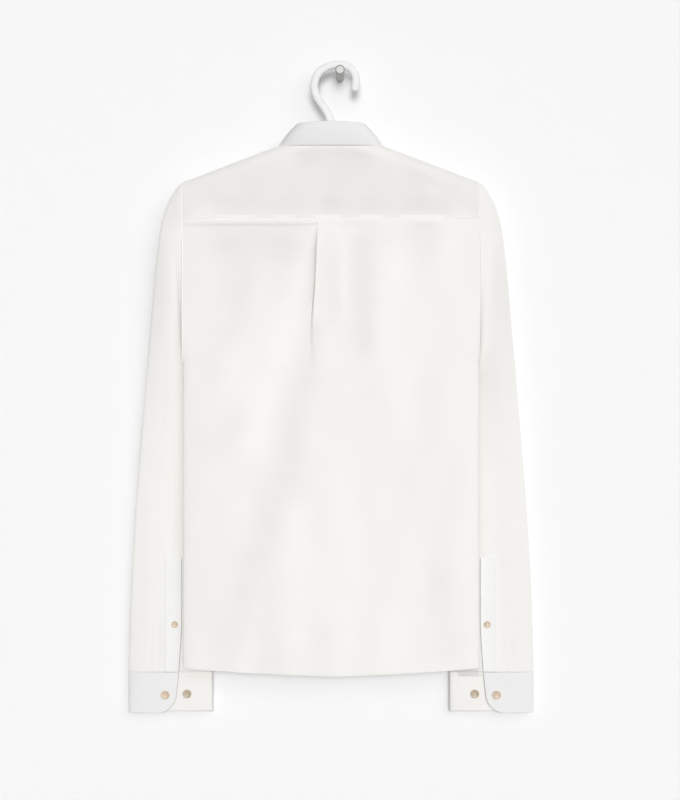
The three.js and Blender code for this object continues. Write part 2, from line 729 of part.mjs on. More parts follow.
// ---------- hanger, hook and wall peg ----------

// An oval section carried along a route.
function rod(route, halfAcross, halfUp, sidesRound, stepsAlong) {
  const oval = new THREE.Shape();
  oval.absellipse(0, 0, halfAcross, halfUp, 0, 2 * Math.PI);
  const section = new THREE.Shape(oval.getSpacedPoints(sidesRound).slice(0, -1));
  const settings = { extrudePath: route, steps: stepsAlong, curveSegments: 1 };
  return new THREE.ExtrudeGeometry(section, settings);
}

const armZ = (x) => shoulderZ(x) - hanger.clear - hanger.halfHeight;
const armStops = [1, 0.85, 0.65, 0.4, 0.18];
const armRoute = armStops.map((t) => new THREE.Vector3(t * hanger.reach, torso.midY, armZ(t * hanger.reach)));
const hangerRoute = new THREE.CatmullRomCurve3([
  ...armRoute.map((p) => new THREE.Vector3(-p.x, p.y, p.z)),
  new THREE.Vector3(0, torso.midY, hanger.neckZ),
  ...armRoute.reverse(),
]);
addMesh(shirt, "hanger", "plastic", rod(hangerRoute, hanger.halfThick, hanger.halfHeight, 12, 26));

const hookCurve = new THREE.CatmullRomCurve3(hookRoute.map(({ x, z }) => new THREE.Vector3(x, hook.y, z)));
addMesh(shirt, "hanger_hook", "plastic", rod(hookCurve, hook.halfThick, hook.halfWide, 12, 34));

const headStart = peg.length;
const pegProfile = [
  [0, 0],
  [peg.shaft, 0],
  [peg.shaft, -headStart],
  [peg.head, -headStart],
  [peg.head, -headStart - peg.headLength + 1],
  [peg.head - 1, -headStart - peg.headLength],
  [0, -headStart - peg.headLength],
];
addMesh(
  part,
  "wall_peg",
  "metal",
  new THREE.LatheGeometry(pegProfile.map(([r, y]) => new THREE.Vector2(r, y)).reverse(), 28),
);

export default part;
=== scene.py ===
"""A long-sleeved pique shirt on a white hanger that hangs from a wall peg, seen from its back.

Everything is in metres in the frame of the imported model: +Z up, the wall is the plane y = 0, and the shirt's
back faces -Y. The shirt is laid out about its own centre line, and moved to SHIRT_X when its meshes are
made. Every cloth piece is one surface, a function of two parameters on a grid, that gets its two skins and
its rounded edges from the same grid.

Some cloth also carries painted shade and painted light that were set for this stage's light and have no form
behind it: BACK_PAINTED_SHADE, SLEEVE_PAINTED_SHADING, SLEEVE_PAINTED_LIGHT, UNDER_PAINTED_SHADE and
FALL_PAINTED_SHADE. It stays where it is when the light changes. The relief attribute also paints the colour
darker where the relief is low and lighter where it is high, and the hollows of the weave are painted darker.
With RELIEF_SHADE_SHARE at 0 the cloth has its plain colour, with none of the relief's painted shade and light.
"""

from typing import NamedTuple

import bpy
import numpy as np
from bpy.props import FloatProperty, FloatVectorProperty, PointerProperty
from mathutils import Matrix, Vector


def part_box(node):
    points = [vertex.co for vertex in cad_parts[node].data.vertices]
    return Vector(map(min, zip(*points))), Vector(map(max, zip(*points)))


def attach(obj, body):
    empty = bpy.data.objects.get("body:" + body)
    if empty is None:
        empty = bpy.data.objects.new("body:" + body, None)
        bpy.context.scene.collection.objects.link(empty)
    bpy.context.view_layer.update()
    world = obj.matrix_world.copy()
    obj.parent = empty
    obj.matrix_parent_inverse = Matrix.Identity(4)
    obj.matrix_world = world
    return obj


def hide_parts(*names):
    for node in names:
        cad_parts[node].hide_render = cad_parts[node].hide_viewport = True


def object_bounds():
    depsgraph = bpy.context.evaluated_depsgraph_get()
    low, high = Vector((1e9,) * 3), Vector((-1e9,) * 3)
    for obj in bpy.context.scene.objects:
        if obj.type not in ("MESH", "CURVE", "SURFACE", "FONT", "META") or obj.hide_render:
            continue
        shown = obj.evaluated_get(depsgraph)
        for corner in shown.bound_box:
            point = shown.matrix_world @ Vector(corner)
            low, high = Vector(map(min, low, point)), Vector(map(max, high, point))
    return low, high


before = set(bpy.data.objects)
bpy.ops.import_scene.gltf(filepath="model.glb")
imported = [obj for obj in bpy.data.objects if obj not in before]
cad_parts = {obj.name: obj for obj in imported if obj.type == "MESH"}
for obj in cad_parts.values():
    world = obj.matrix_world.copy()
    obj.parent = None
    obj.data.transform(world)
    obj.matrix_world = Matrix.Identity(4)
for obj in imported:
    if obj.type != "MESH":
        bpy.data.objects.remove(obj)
CAD_BOX = [list(corner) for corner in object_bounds()]

bl_info = {
    "name": "Pique shirt on a hanger",
    "version": (1, 0, 0),
    "blender": (4, 5, 0),
    "location": "3D View > Sidebar > Shirt",
    "description": "Makes a pique shirt on its hanger, piece by piece",
    "category": "Object",
}

# ---------- places taken from the frame ----------


def middle(node):
    """The middle of a CAD node's box."""
    low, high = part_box(node)
    return (low + high) / 2


SHIRT_X = middle("back").x
HEM_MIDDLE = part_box("back")[0].z + 0.0006
CUFF_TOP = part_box("cuff_right")[1].z
CUFF_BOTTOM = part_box("cuff_right")[0].z

# ---------- the shirt's sizes ----------

SEAM_GAP = 0.0003
THICK = {
    "panel": 0.0011,
    "yoke": 0.0013,
    "sleeve": 0.0011,
    "band": 0.0011,
    "collar": 0.0016,
    "cuff": 0.0018,
}

HALF_WIDTH = 0.1978
MID_Y = -0.036
CENTRE_DEPTH = 0.0114
ARMHOLE_DEPTH = 0.0082
SIDE_DEPTH = 0.0008
LINE_TOP = -0.0724
SLOPE = 0.3796
RIDGE = 0.022
UNDERARM = -0.388
UNDERARM_EASE = 0.06
YOKE_SEAM = -0.1972
YOKE_FRONT_DROP = 0.03
HEM_SIDE = HEM_MIDDLE + 0.01
FRONT_LIFT = 0.004
NECK_HALF = 0.0615
NECK_BACK_TURN = 1.5
NECK_FRONT_DROP = 0.0693
QUARTER = np.pi / 2

PLEAT_X = -0.006
PLEAT_RADIUS = 0.00095
PLEAT_HELD = 0.011
PLEAT_LEFT = (0.85, 0.0018)
PLEAT_RIGHT = (1.2, 0.0015)
WEDGE_DEPTH = 0.0030
# Painted shade only, beside the pleat's fold, on the panel left of it and on the yoke.
BACK_PAINTED_SHADE = {"deep": 0.0074, "wide": 0.0098, "full": 0.066, "panel": 0.0008, "yoke": 0.0015}
RIDGE_HEIGHT = 0.0009
PLEAT = {
    "drop": (0, 0.018, 0.038, 0.062, 0.092, 0.125, 0.165, 0.215, 0.270),
    "turn": (176, 164, 135, 100, 70, 45, 22, 8, 0),
    "run": (0.007, 0.0045, 0.0025, 0.0016, 0.002, 0.003, 0.004, 0.005, 0.006),
    "edge": (0.0114, 0.0122, 0.0131, 0.0141, 0.0160, 0.0186, 0.0208, 0.0222, 0.0235),
}

SLEEVE = {
    "ox": (198.8, 203.8, 211, 219, 226.5, 232, 237, 242, 248, 255, 262.6, 268, 271.5, 273.6),
    "oz": (-147.5, -152.5, -162, -177.5, -201, -235, -282, -336, -400, -480, -574, -655, -730, -805.7),
    "ix": (198.8, 198.4, 197.6, 196.6, 195.6, 194.6, 193, 188, 172, 138, 117, 127, 145.5, 160.4),
    "iz": (-388, -391.5, -395, -398, -400.5, -403.5, -408.5, -419, -440, -492, -579, -657, -732, -805.7),
    "oy": (-36, -35.9, -35.4, -34.6, -33.2, -31.2, -28.5, -25.5, -22.5, -19.5, -17, -15.4, -14.4, -14),
    "iy": (-36, -34.5, -31.5, -28, -25, -22.5, -20, -17.5, -15.5, -14.2, -13.6, -13.5, -13.7, -14),
    "half": (8.2, 8, 7.6, 7, 6.3, 5.9, 5.8, 5.8, 5.8, 5.9, 6.1, 6.3, 6.6, 7),
}
SLEEVE = {name: tuple(value / 1000 for value in column) for name, column in SLEEVE.items()}
SLEEVE_RINGS = len(SLEEVE["ox"]) - 1
CAP_RUN = 0.06
CUFF_TUCK = 0.0012
TROUGH = {"x": 0.2016, "reach": 0.024, "deep": 0.0016, "start": -0.192, "full": -0.26}
# Painted shade and light only: painted shade beside the body above and below, painted light beside the armhole,
# and an even painted light over the sleeve.
SLEEVE_PAINTED_LIGHT = 0.0005
SLEEVE_PAINTED_SHADING = {"left": (0.0, 0.0005, 0.0042), "right": (0.0026, 0.0100, 0.0018)}

PLACKET = {"top": 0.841, "outer": 0.224, "free": 0.2015, "free_low": 0.205, "lift": 0.0013}

CUFF_MID_X = 0.217
CUFF_HALF = 0.057
CUFF_Y = -0.014
CUFF_DEPTH = 0.0076
CUFF_CORNER = 0.026
CUFF_STEP = 0.0025
EDGING = 0.0009
UNDER_BOTTOM = CUFF_BOTTOM + 0.0026
UNDER_REACH = 0.234
# Painted shade only, even over the underlap.
UNDER_PAINTED_SHADE = 0.0009
CUFF_FREE = (0.2054, 0.2086)
TURN_THICK = 0.0005
HEM_TURN = 0.007
LAP_REACH = 0.006
LAP_DEPTH = 0.00125

FOLD = {"half": 0.041, "side": -0.0725, "back": -0.0675, "front_drop": 0.0645, "depth": 0.013}
FALL = {"half": 0.069, "back_z": -0.0989, "side_z": -0.0975, "clear": 0.0018, "roll": 0.0035}
FALL_FRONT = {
    "x": (0.069, 0.0735, 0.075, 0.0705, 0.06, 0.047),
    "y": (-0.036, -0.0265, -0.02, -0.018, -0.0175, -0.018),
    "z": (-0.0975, -0.1025, -0.115, -0.14, -0.167, -0.197),
}
# Painted shade only, at the collar's left end.
FALL_PAINTED_SHADE = -0.0045
STAND_TOP = 0.0046
BAND_HALF = 0.016
BAND_PARTING = -0.008
BAND_LIFT = 0.0015


class Crease(NamedTuple):
    """A soft fold from one point to another: its width, and its height (below 0 for a trough)."""

    x0: float
    z0: float
    x1: float
    z1: float
    wide: float
    high: float


BACK_CREASES = [
    Crease(-0.036, -0.232, -0.113, -0.500, 0.024, 0.0024),
    Crease(-0.050, -0.236, -0.140, -0.232, 0.030, -0.0030),
    Crease(-0.112, -0.252, -0.136, -0.350, 0.024, -0.0022),
    Crease(-0.126, -0.272, -0.148, -0.335, 0.009, 0.0005),
    Crease(-0.094, -0.296, -0.108, -0.350, 0.007, 0.0005),
    Crease(-0.008, -0.222, -0.006, -0.330, 0.013, -0.0016),
    Crease(0.040, -0.232, 0.041, -0.366, 0.016, -0.0028),
    Crease(0.0165, -0.235, 0.0195, -0.330, 0.005, 0.0012),
    Crease(0.080, -0.240, 0.098, -0.460, 0.034, 0.0010),
    Crease(0.060, -0.226, 0.120, -0.224, 0.024, -0.0018),
    Crease(-0.026, -0.347, -0.042, -0.417, 0.014, -0.0026),
    Crease(-0.042, -0.417, -0.064, -0.545, 0.021, -0.0024),
    Crease(-0.064, -0.545, -0.108, -0.651, 0.028, -0.0024),
    Crease(-0.108, -0.651, -0.141, -0.752, 0.032, -0.0022),
    Crease(-0.136, -0.474, -0.156, -0.502, 0.024, -0.0022),
    Crease(-0.050, -0.600, -0.050, -0.758, 0.024, 0.0016),
    Crease(-0.084, -0.690, -0.096, -0.806, 0.022, -0.0018),
    Crease(-0.016, -0.750, -0.020, -0.806, 0.020, -0.0016),
    Crease(0.020, -0.540, 0.030, -0.760, 0.032, 0.0008),
    Crease(0.142, -0.690, 0.150, -0.775, 0.022, -0.0016),
    Crease(0.118, -0.440, 0.104, -0.690, 0.034, -0.0008),
    Crease(0.066, -0.590, 0.078, -0.770, 0.028, 0.0008),
]
YOKE_CREASES = [
    Crease(-0.145, -0.178, -0.010, -0.178, 0.020, -0.0030),
    Crease(0.000, -0.178, 0.142, -0.182, 0.020, -0.0031),
    Crease(-0.030, -0.120, 0.036, -0.122, 0.026, -0.0034),
    Crease(-0.110, -0.148, 0.110, -0.150, 0.036, -0.0024),
    Crease(-0.150, -0.142, -0.110, -0.130, 0.014, 0.0008),
    Crease(0.090, -0.132, 0.140, -0.152, 0.015, 0.0007),
]
FRONT_CREASES = [
    Crease(-0.070, -0.190, -0.112, -0.430, 0.030, 0.0018),
    Crease(0.076, -0.180, 0.098, -0.400, 0.028, 0.0018),
    Crease(-0.060, -0.520, -0.096, -0.760, 0.036, -0.0018),
    Crease(0.074, -0.560, 0.058, -0.770, 0.034, 0.0016),
    Crease(-0.150, -0.300, -0.176, -0.420, 0.014, -0.0010),
    Crease(0.152, -0.280, 0.178, -0.410, 0.012, -0.0011),
    Crease(0.034, -0.300, 0.040, -0.470, 0.012, 0.0007),
    Crease(-0.036, -0.640, -0.032, -0.790, 0.014, 0.0008),
]
SLEEVE_CREASES = {
    "left": [
        Crease(0.214, -0.260, 0.238, -0.520, 0.015, 0.0014),
        Crease(0.190, -0.470, 0.216, -0.690, 0.020, -0.0013),
        Crease(0.242, -0.560, 0.250, -0.770, 0.010, 0.0010),
        Crease(0.222, -0.360, 0.228, -0.470, 0.007, -0.0007),
        Crease(0.188, -0.700, 0.184, -0.800, 0.006, -0.0008),
        Crease(0.150, -0.470, 0.164, -0.620, 0.012, 0.0012),
    ],
    "right": [
        Crease(0.212, -0.250, 0.234, -0.500, 0.016, 0.0015),
        Crease(0.192, -0.480, 0.214, -0.680, 0.019, -0.0012),
        Crease(0.240, -0.540, 0.247, -0.760, 0.011, 0.0011),
        Crease(0.229, -0.330, 0.236, -0.430, 0.008, -0.0006),
        Crease(0.186, -0.690, 0.184, -0.800, 0.006, -0.0007),
        Crease(0.152, -0.480, 0.160, -0.610, 0.013, 0.0011),
    ],
}
CUFF_TUCKS = {
    "left": [
        Crease(0.2330, -0.752, 0.2347, -0.806, 0.0040, -0.0009),
        Crease(0.2420, -0.764, 0.2441, -0.806, 0.0040, -0.0009),
    ],
    "right": [
        Crease(0.2320, -0.758, 0.2342, -0.806, 0.0040, -0.0009),
        Crease(0.2416, -0.750, 0.2438, -0.806, 0.0040, -0.0009),
    ],
}

# ---------- small helpers ----------


def mix(a, b, t):
    """a at t = 0, b at t = 1, straight between them."""
    return a + (b - a) * t


def smooth(value, low, high):
    """0 below low and 1 above high, with a soft start and end."""
    t = np.clip((value - low) / (high - low), 0, 1)
    return t * t * (3 - 2 * t)


def power(value, exponent):
    """The power of a value's size, with the value's sign."""
    return np.sign(value) * np.abs(value) ** exponent


def point(x, y, z):
    """Three arrays as one array of points."""
    return np.stack(np.broadcast_arrays(x, y, z), axis=-1)


def unit(vectors):
    """Vectors of length one."""
    return vectors / np.maximum(np.linalg.norm(vectors, axis=-1, keepdims=True), 1e-12)


def between(table, place):
    """The rows of a table at a place, 0 to its last row, on a Catmull-Rom curve through them."""
    last = len(next(iter(table.values()))) - 1
    place = np.clip(place, 0, last)
    i = np.clip(np.floor(place).astype(int), 0, last - 1)
    t = place - i
    row = {}
    for name, column in table.items():
        column = np.asarray(column, float)
        a, b, c, d = (column[np.clip(i + k, 0, last)] for k in (-1, 0, 1, 2))
        row[name] = b + t / 2 * (c - a + t * (2 * a - 5 * b + 4 * c - d + t * (3 * (b - c) + d - a)))
    return row


def sorted_rows(table, column, value):
    """The rows of a table at a value of one of its columns, which rises down the table."""
    stops = np.asarray(table[column], float)
    i = np.clip(np.searchsorted(stops, value) - 1, 0, len(stops) - 2)
    t = np.clip((value - stops[i]) / (stops[i + 1] - stops[i]), 0, 1)
    return between(table, i + t)


def folds(creases, x, z):
    """The height of soft folds: each is highest along its line and fades as a bell to both sides. Where
    folds of one kind meet, the fourth root of their fourth powers' sum keeps them from piling up."""
    ridges, troughs = (np.zeros(np.broadcast(x, z).shape) for _ in range(2))
    for one in creases:
        dx, dz = one.x1 - one.x0, one.z1 - one.z0
        t = np.clip(((x - one.x0) * dx + (z - one.z0) * dz) / (dx * dx + dz * dz), 0, 1)
        away = np.hypot(x - one.x0 - t * dx, z - one.z0 - t * dz)
        bell = (one.high * np.exp(-((away / one.wide) ** 2))) ** 4
        if one.high > 0:
            ridges += bell
        else:
            troughs += bell
    return ridges**0.25 - troughs**0.25


def ripple(x, z, seed, lengths, height):
    """Slow unevenness of hanging cloth: crossing waves of mixed directions, with no two alike."""
    random = np.random.default_rng(seed)
    total = np.zeros(np.broadcast(x, z).shape)
    for length in random.uniform(*lengths, 7):
        angle, phase = random.uniform(-0.6, 0.6), random.uniform(0, 2 * np.pi)
        run = x * np.cos(angle) + z * np.sin(angle) * 0.6
        total = total + np.sin(2 * np.pi * run / length + phase)
    return total * height / 7**0.5


def drape(x, z, seed):
    """The soft and the fine unevenness together."""
    soft = ripple(x, z, seed, (0.05, 0.13), 0.00055)
    return soft + ripple(z * 0.7, x, seed + 50, (0.016, 0.04), 0.00007)


# ---------- meshes ----------


def new_mesh(name, points, faces, uv=None, mirrored=False):
    """A smooth mesh object from points and faces, moved from the shirt's centre line to its place. A
    mirrored one changes the sign of x and the order of each face's corners."""
    points = np.asarray(points, float).reshape(-1, 3) * ((-1, 1, 1) if mirrored else 1)
    points = points + (SHIRT_X, 0, 0)
    if mirrored:
        faces = [face[:, ::-1] for face in faces]
        uv = None if uv is None else [face[:, ::-1] for face in uv]
    mesh = bpy.data.meshes.new(name)
    mesh.from_pydata(points.tolist(), [], [row for face in faces for row in face.tolist()])
    if uv is not None:
        corners = np.concatenate([face.reshape(-1) for face in uv])
        mesh.uv_layers.new(name="cloth").data.foreach_set("uv", corners.astype(np.float32))
    mesh.polygons.foreach_set("use_smooth", np.ones(len(mesh.polygons), bool))
    mesh.update()
    piece = bpy.data.objects.new(name, mesh)
    bpy.context.scene.collection.objects.link(piece)
    return piece


def finish_piece(piece, material, nodes=()):
    """Gives a piece its material and its body, and hides the CAD nodes it stands for."""
    piece.data.materials.append(material)
    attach(piece, "root")
    if nodes:
        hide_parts(*nodes)
    return piece


def surface_frame(surface, u, v, step=1e-4):
    """Points of a surface and its normals, from small steps to both sides along u and v."""
    across = surface(u + step, v) - surface(u - step, v)
    down = surface(u, v + step) - surface(u, v - step)
    return surface(u, v), unit(np.cross(across, down))


def running_length(points, axis):
    """The distance along a grid's rows (axis 1) or columns (axis 0), from its first line."""
    step = np.linalg.norm(np.diff(points, axis=axis), axis=-1)
    start = np.zeros_like(np.take(step, [0], axis=axis))
    return np.cumsum(np.concatenate([start, step], axis=axis), axis=axis)


def cells(grid):
    """The four corners of each cell of a grid, one row for each cell."""
    corners = np.stack([grid[:-1, :-1], grid[:-1, 1:], grid[1:, 1:], grid[1:, :-1]], axis=2)
    return corners.reshape(-1, 4, *grid.shape[2:])


def rim(line, other):
    """The cells between two lines of a grid, one on each skin."""
    return np.stack([line[1:], line[:-1], other[:-1], other[1:]], axis=1)


def edged(values, length):
    """Values along a span of the given length in metres, with closer ones at both ends for a round edge."""
    values = np.asarray(values, float)
    extra = np.array([0.00015, 0.0004, 0.0009]) * (values[-1] - values[0]) / length
    return np.unique(np.concatenate([values, values[0] + extra, values[-1] - extra]))


def shell(
    name,
    surface,
    columns,
    rows,
    wall,
    closed=False,
    mirrored=False,
    turned=(0, 0),
    relief=None,
    level=False,
):
    """A wall of cloth round a surface, as two skins half its thickness from the surface along the normal,
    joined at the open edges. The wall thins to each open edge on a quarter circle, and is thicker where
    the cloth is turned under, over the widths in turned at the first and the last row. The relief is kept
    as an attribute in millimetres that the cloth's colour follows as painted shade and painted light, darker
    where the relief is low and lighter where it is high. It holds how far a place stands out of the plain
    form, and painted shade and light that have no form behind it. With level set, the rows of the weave are
    level, and every column counts as long as the middle one of them."""
    u, v = np.meshgrid(np.asarray(columns, float), np.asarray(rows, float))
    points, normals = surface_frame(surface, u, v)
    ring = np.concatenate([points, points[:, :1]], axis=1) if closed else points
    along, down = running_length(ring, 1), running_length(ring, 0)
    if level:
        down = np.repeat(np.median(down, axis=1, keepdims=True), down.shape[1], axis=1)
    edge = np.minimum(down, down[-1:] - down)
    if not closed:
        edge = np.minimum(edge, np.minimum(along, along[:, -1:] - along))
    share = np.clip(edge / (0.7 * wall), 0, 1)
    thickness = wall * mix(0.25, 1, np.sqrt(1 - (1 - share) ** 2))
    for width, distance in zip(turned, (down, down[-1:] - down)):
        if width:
            thickness = thickness + TURN_THICK * share * smooth(width - distance, -0.0006, 0.0006)
    offset = normals * thickness[:, : u.shape[1], None] / 2
    index = np.arange(u.size).reshape(u.shape)
    if closed:
        index = np.concatenate([index, index[:, :1]], axis=1)
    flat = np.stack([along - along[:, along.shape[1] // 2, None], -down], -1)
    lines = [(index[0], flat[0]), (index[-1][::-1], flat[-1][::-1])]
    if not closed:
        lines += [(index[:, 0][::-1], flat[:, 0][::-1]), (index[:, -1], flat[:, -1])]
    faces = [cells(index), cells(index)[:, ::-1] + u.size] + [rim(line, line + u.size) for line, _ in lines]
    uv = [cells(flat), cells(flat)[:, ::-1]] + [rim(line, line) for _, line in lines]
    skins = np.concatenate([(points + offset).reshape(-1, 3), (points - offset).reshape(-1, 3)])
    piece = new_mesh(name, skins, faces, uv, mirrored)
    if relief:
        height = np.tile(1000 * relief(u, v).reshape(-1), 2).astype(np.float32)
        piece.data.attributes.new("relief", "FLOAT", "POINT").data.foreach_set("value", height)
    a, b = ring[1:, 1:] - ring[:-1, :-1], ring[1:, :-1] - ring[:-1, 1:]
    area = float(np.linalg.norm(np.cross(a, b), axis=-1).sum() / 2)
    return piece, (float(along[:, -1].max()), float(down[-1].max())), area


def cloth(name, surface, columns, rows, kind, material, nodes, slot, held="hung", **settings):
    """A shell with its material and body, which hides its CAD nodes. Its longest row, its longest column and
    its own area are worked out but not used.
    """
    piece, size, area = shell(name, surface, columns, rows, THICK[kind], **settings)
    finish_piece(piece, material, nodes)
    return piece


def stitch_row(surface, u, v, lift, out=1):
    """Stitches along a line on a surface, lift away from it on the side of its normal (out 1) or the other
    one (out -1). Each is a spindle of three rings that rises from the cloth and dips into it again."""
    sizes = bpy.context.scene.shirt_sizes
    points, normals = surface_frame(surface, np.asarray(u, float), np.asarray(v, float))
    along = running_length(points, 0)
    count = max(int(along[-1] / sizes.stitch_pitch), 1)
    starts = (np.arange(count) + 0.5) * along[-1] / count
    stops = np.array([-1, -0.72, 0, 0.72, 1]) * sizes.stitch_length / 2
    at = np.clip(starts[:, None] + stops, 0, along[-1])
    here = np.stack([np.interp(at, along, points[:, k]) for k in range(3)], -1)
    normal = unit(np.stack([np.interp(at, along, normals[:, k]) for k in range(3)], -1)) * out
    tangent = unit(here[:, -1:] - here[:, :1])
    side = unit(np.cross(tangent, normal))
    radius = sizes.thread / 2
    rise = np.array([-0.8, 0.2, 0.7, 0.2, -0.8]) * radius
    here = here + normal * (lift + rise[:, None])
    angle = np.linspace(0, 2 * np.pi, 6, endpoint=False)[:, None]
    ring = side[:, 1:4, None] * np.cos(angle) + normal[:, 1:4, None] * np.sin(angle)
    size = radius * np.array([0.8, 1, 0.8])[:, None, None]
    rings = (here[:, 1:4, None] + ring * size).reshape(count, 18, 3)
    body = np.concatenate([rings, here[:, :1], here[:, 4:]], axis=1)
    k = np.arange(6)
    after = (k + 1) % 6
    quads = np.concatenate([np.stack([r + k, r + 6 + k, r + 6 + after, r + after], -1) for r in (0, 6)])
    first = np.stack([np.full(6, 18), k, after], -1)
    last = np.stack([np.full(6, 19), 12 + after, 12 + k], -1)
    start = np.arange(count)[:, None, None] * 20
    tips = np.concatenate([first, last]) + start
    return body.reshape(-1, 3), (quads + start).reshape(-1, 4), tips.reshape(-1, 3)


def stitching(name, rows, mirrored=False):
    """Rows of stitches joined into one piece of thread."""
    counts = np.cumsum([0] + [len(points) for points, _, _ in rows])
    points = np.concatenate([points for points, _, _ in rows])
    faces = [face + first for (_, *shapes), first in zip(rows, counts) for face in shapes]
    return finish_piece(new_mesh(name, points, faces, mirrored=mirrored), thread_material())


def tube(rings):
    """Points and faces of a closed tube through rings of points, with a fan over each end."""
    count, sides = rings.shape[:2]
    index = np.arange(count * sides).reshape(count, sides)
    index = np.concatenate([index, index[:, :1]], axis=1)
    points = np.concatenate([rings.reshape(-1, 3), rings[[0, -1]].mean(axis=1)])
    first = np.stack([index[0, :-1], index[0, 1:], np.full(sides, count * sides)], -1)
    last = np.stack([index[-1, 1:], index[-1, :-1], np.full(sides, count * sides + 1)], -1)
    return points, cells(index)[:, ::-1], first, last


def piping(surface, u, v, lift, radius, sides=8):
    """A thin round cord along a line on a surface, lift away from it on the side of its normal."""
    points, normals = surface_frame(surface, np.asarray(u, float), np.asarray(v, float))
    path = points + normals * lift
    side = unit(np.cross(unit(np.gradient(path, axis=0)), normals))[:, None]
    angle = np.linspace(0, 2 * np.pi, sides, endpoint=False)[:, None]
    return tube(path[:, None] + (side * np.cos(angle) + normals[:, None] * np.sin(angle)) * radius)


def joined(name, shapes, mirrored=False):
    """One mesh object from several shapes, each given as its points and its arrays of faces."""
    counts = np.cumsum([0] + [len(points) for points, *_ in shapes])
    points = np.concatenate([points for points, *_ in shapes])
    faces = [face + first for (_, *arrays), first in zip(shapes, counts) for face in arrays]
    return new_mesh(name, points, faces, mirrored=mirrored)


def rod(route, y, across, up, sides=24, steps=160):
    """An oval section carried along a smooth route in the plane of x and z. Each end is closed by a half
    round: its rings shrink as a sine while they step outwards as a cosine."""
    table = {"x": tuple(x for x, _ in route), "z": tuple(z for _, z in route)}
    row = between(table, np.linspace(0, len(route) - 1, steps))
    centre = point(row["x"], y, row["z"])
    tangent = unit(np.gradient(centre, axis=0))
    turn = np.linspace(0.1, 0.9, 6) * QUARTER
    reach = np.cos(turn)[:, None] * min(across, up)
    start, end = centre[:1] - tangent[:1] * reach, centre[-1:] + tangent[-1:] * reach[::-1]
    centre = np.concatenate([start, centre, end])
    size = np.concatenate([np.sin(turn), np.ones(steps), np.sin(turn[::-1])])[:, None, None]
    tangent = np.concatenate([np.repeat(tangent[:1], 6, 0), tangent, np.repeat(tangent[-1:], 6, 0)])
    upward = np.cross((0, 1, 0), tangent)[:, None]
    angle = np.linspace(0, 2 * np.pi, sides, endpoint=False)[:, None]
    wide = power(np.cos(angle), 0.75) * across * np.array((0, 1, 0))
    section = wide + power(np.sin(angle), 0.75) * up * upward
    return tube(centre[:, None] + section * size)


def lathe(radius, height, sides=48):
    """Rings of a profile turned about the Y axis: radius from the axis, and height towards -Y."""
    angle = np.linspace(0, 2 * np.pi, sides, endpoint=False)
    radius, height = (np.asarray(one, float)[:, None] for one in (radius, height))
    return point(radius * np.sin(angle), -height, radius * np.cos(angle))


# ---------- the torso's form ----------


def shoulder_z(x):
    """The shoulder line: it falls by SLOPE for each metre outwards."""
    return LINE_TOP - SLOPE * np.abs(x)


def turn_drop(turn):
    """The drop below the shoulder line by turn: a quarter circle, and then straight down."""
    t = np.abs(turn)
    return RIDGE * np.where(t < QUARTER, 1 - np.cos(t), 1 + t - QUARTER)


def turn_at(drop):
    """The turn round the shoulder at a drop, as the inverse of turn_drop."""
    share = np.maximum(drop, 0) / RIDGE
    return np.where(share < 1, np.arccos(1 - np.minimum(share, 1)), QUARTER + share - 1)


def armhole_depth(z, least):
    """Half of the depth at the armhole: a quarter ellipse that closes to the side seam under the arm."""
    share = np.clip((z - UNDERARM) / UNDERARM_EASE, 0, 1)
    return np.maximum(least, ARMHOLE_DEPTH * np.sqrt(1 - (1 - share) ** 2))


def torso_depth(x, z):
    """Half of the depth: a flattened oval from the middle's depth to the side's."""
    q = np.minimum(np.abs(x) / HALF_WIDTH, 1) ** 4
    return np.sqrt(CENTRE_DEPTH**2 * (1 - q) + armhole_depth(z, SIDE_DEPTH) ** 2 * q)


def torso_by_turn(x, turn):
    """A point of the torso by turn round the shoulder, negative at the back."""
    z = shoulder_z(x) - turn_drop(turn)
    depth = np.where(np.abs(turn) < QUARTER, np.sin(turn), np.sign(turn))
    return point(x, MID_Y + depth * torso_depth(x, z), z)


def torso_y(x, z, side):
    """The depth of the torso's front (side 1) or back (side -1) at a height."""
    turn = np.minimum(turn_at(shoulder_z(x) - z), QUARTER)
    return MID_Y + side * np.sin(turn) * torso_depth(x, z)


def hem_z(x):
    """The hem: lowest in the middle, and rising to the side seams as a power of x."""
    return mix(HEM_MIDDLE, HEM_SIDE, (np.abs(x) / HALF_WIDTH) ** 1.3)


def lap(below):
    """How far a panel's edge lies in below its neighbour: LAP_DEPTH above its seam and none past it."""
    return LAP_DEPTH * (1 - smooth(below, -0.0026, 0.0002))


def creased(creases, x, z, seed):
    """All soft relief of a panel: its own folds and the slow and fine unevenness of hung cloth."""
    return bpy.context.scene.shirt_sizes.crease_depth * (folds(creases, x, z) + drape(x, z, seed))


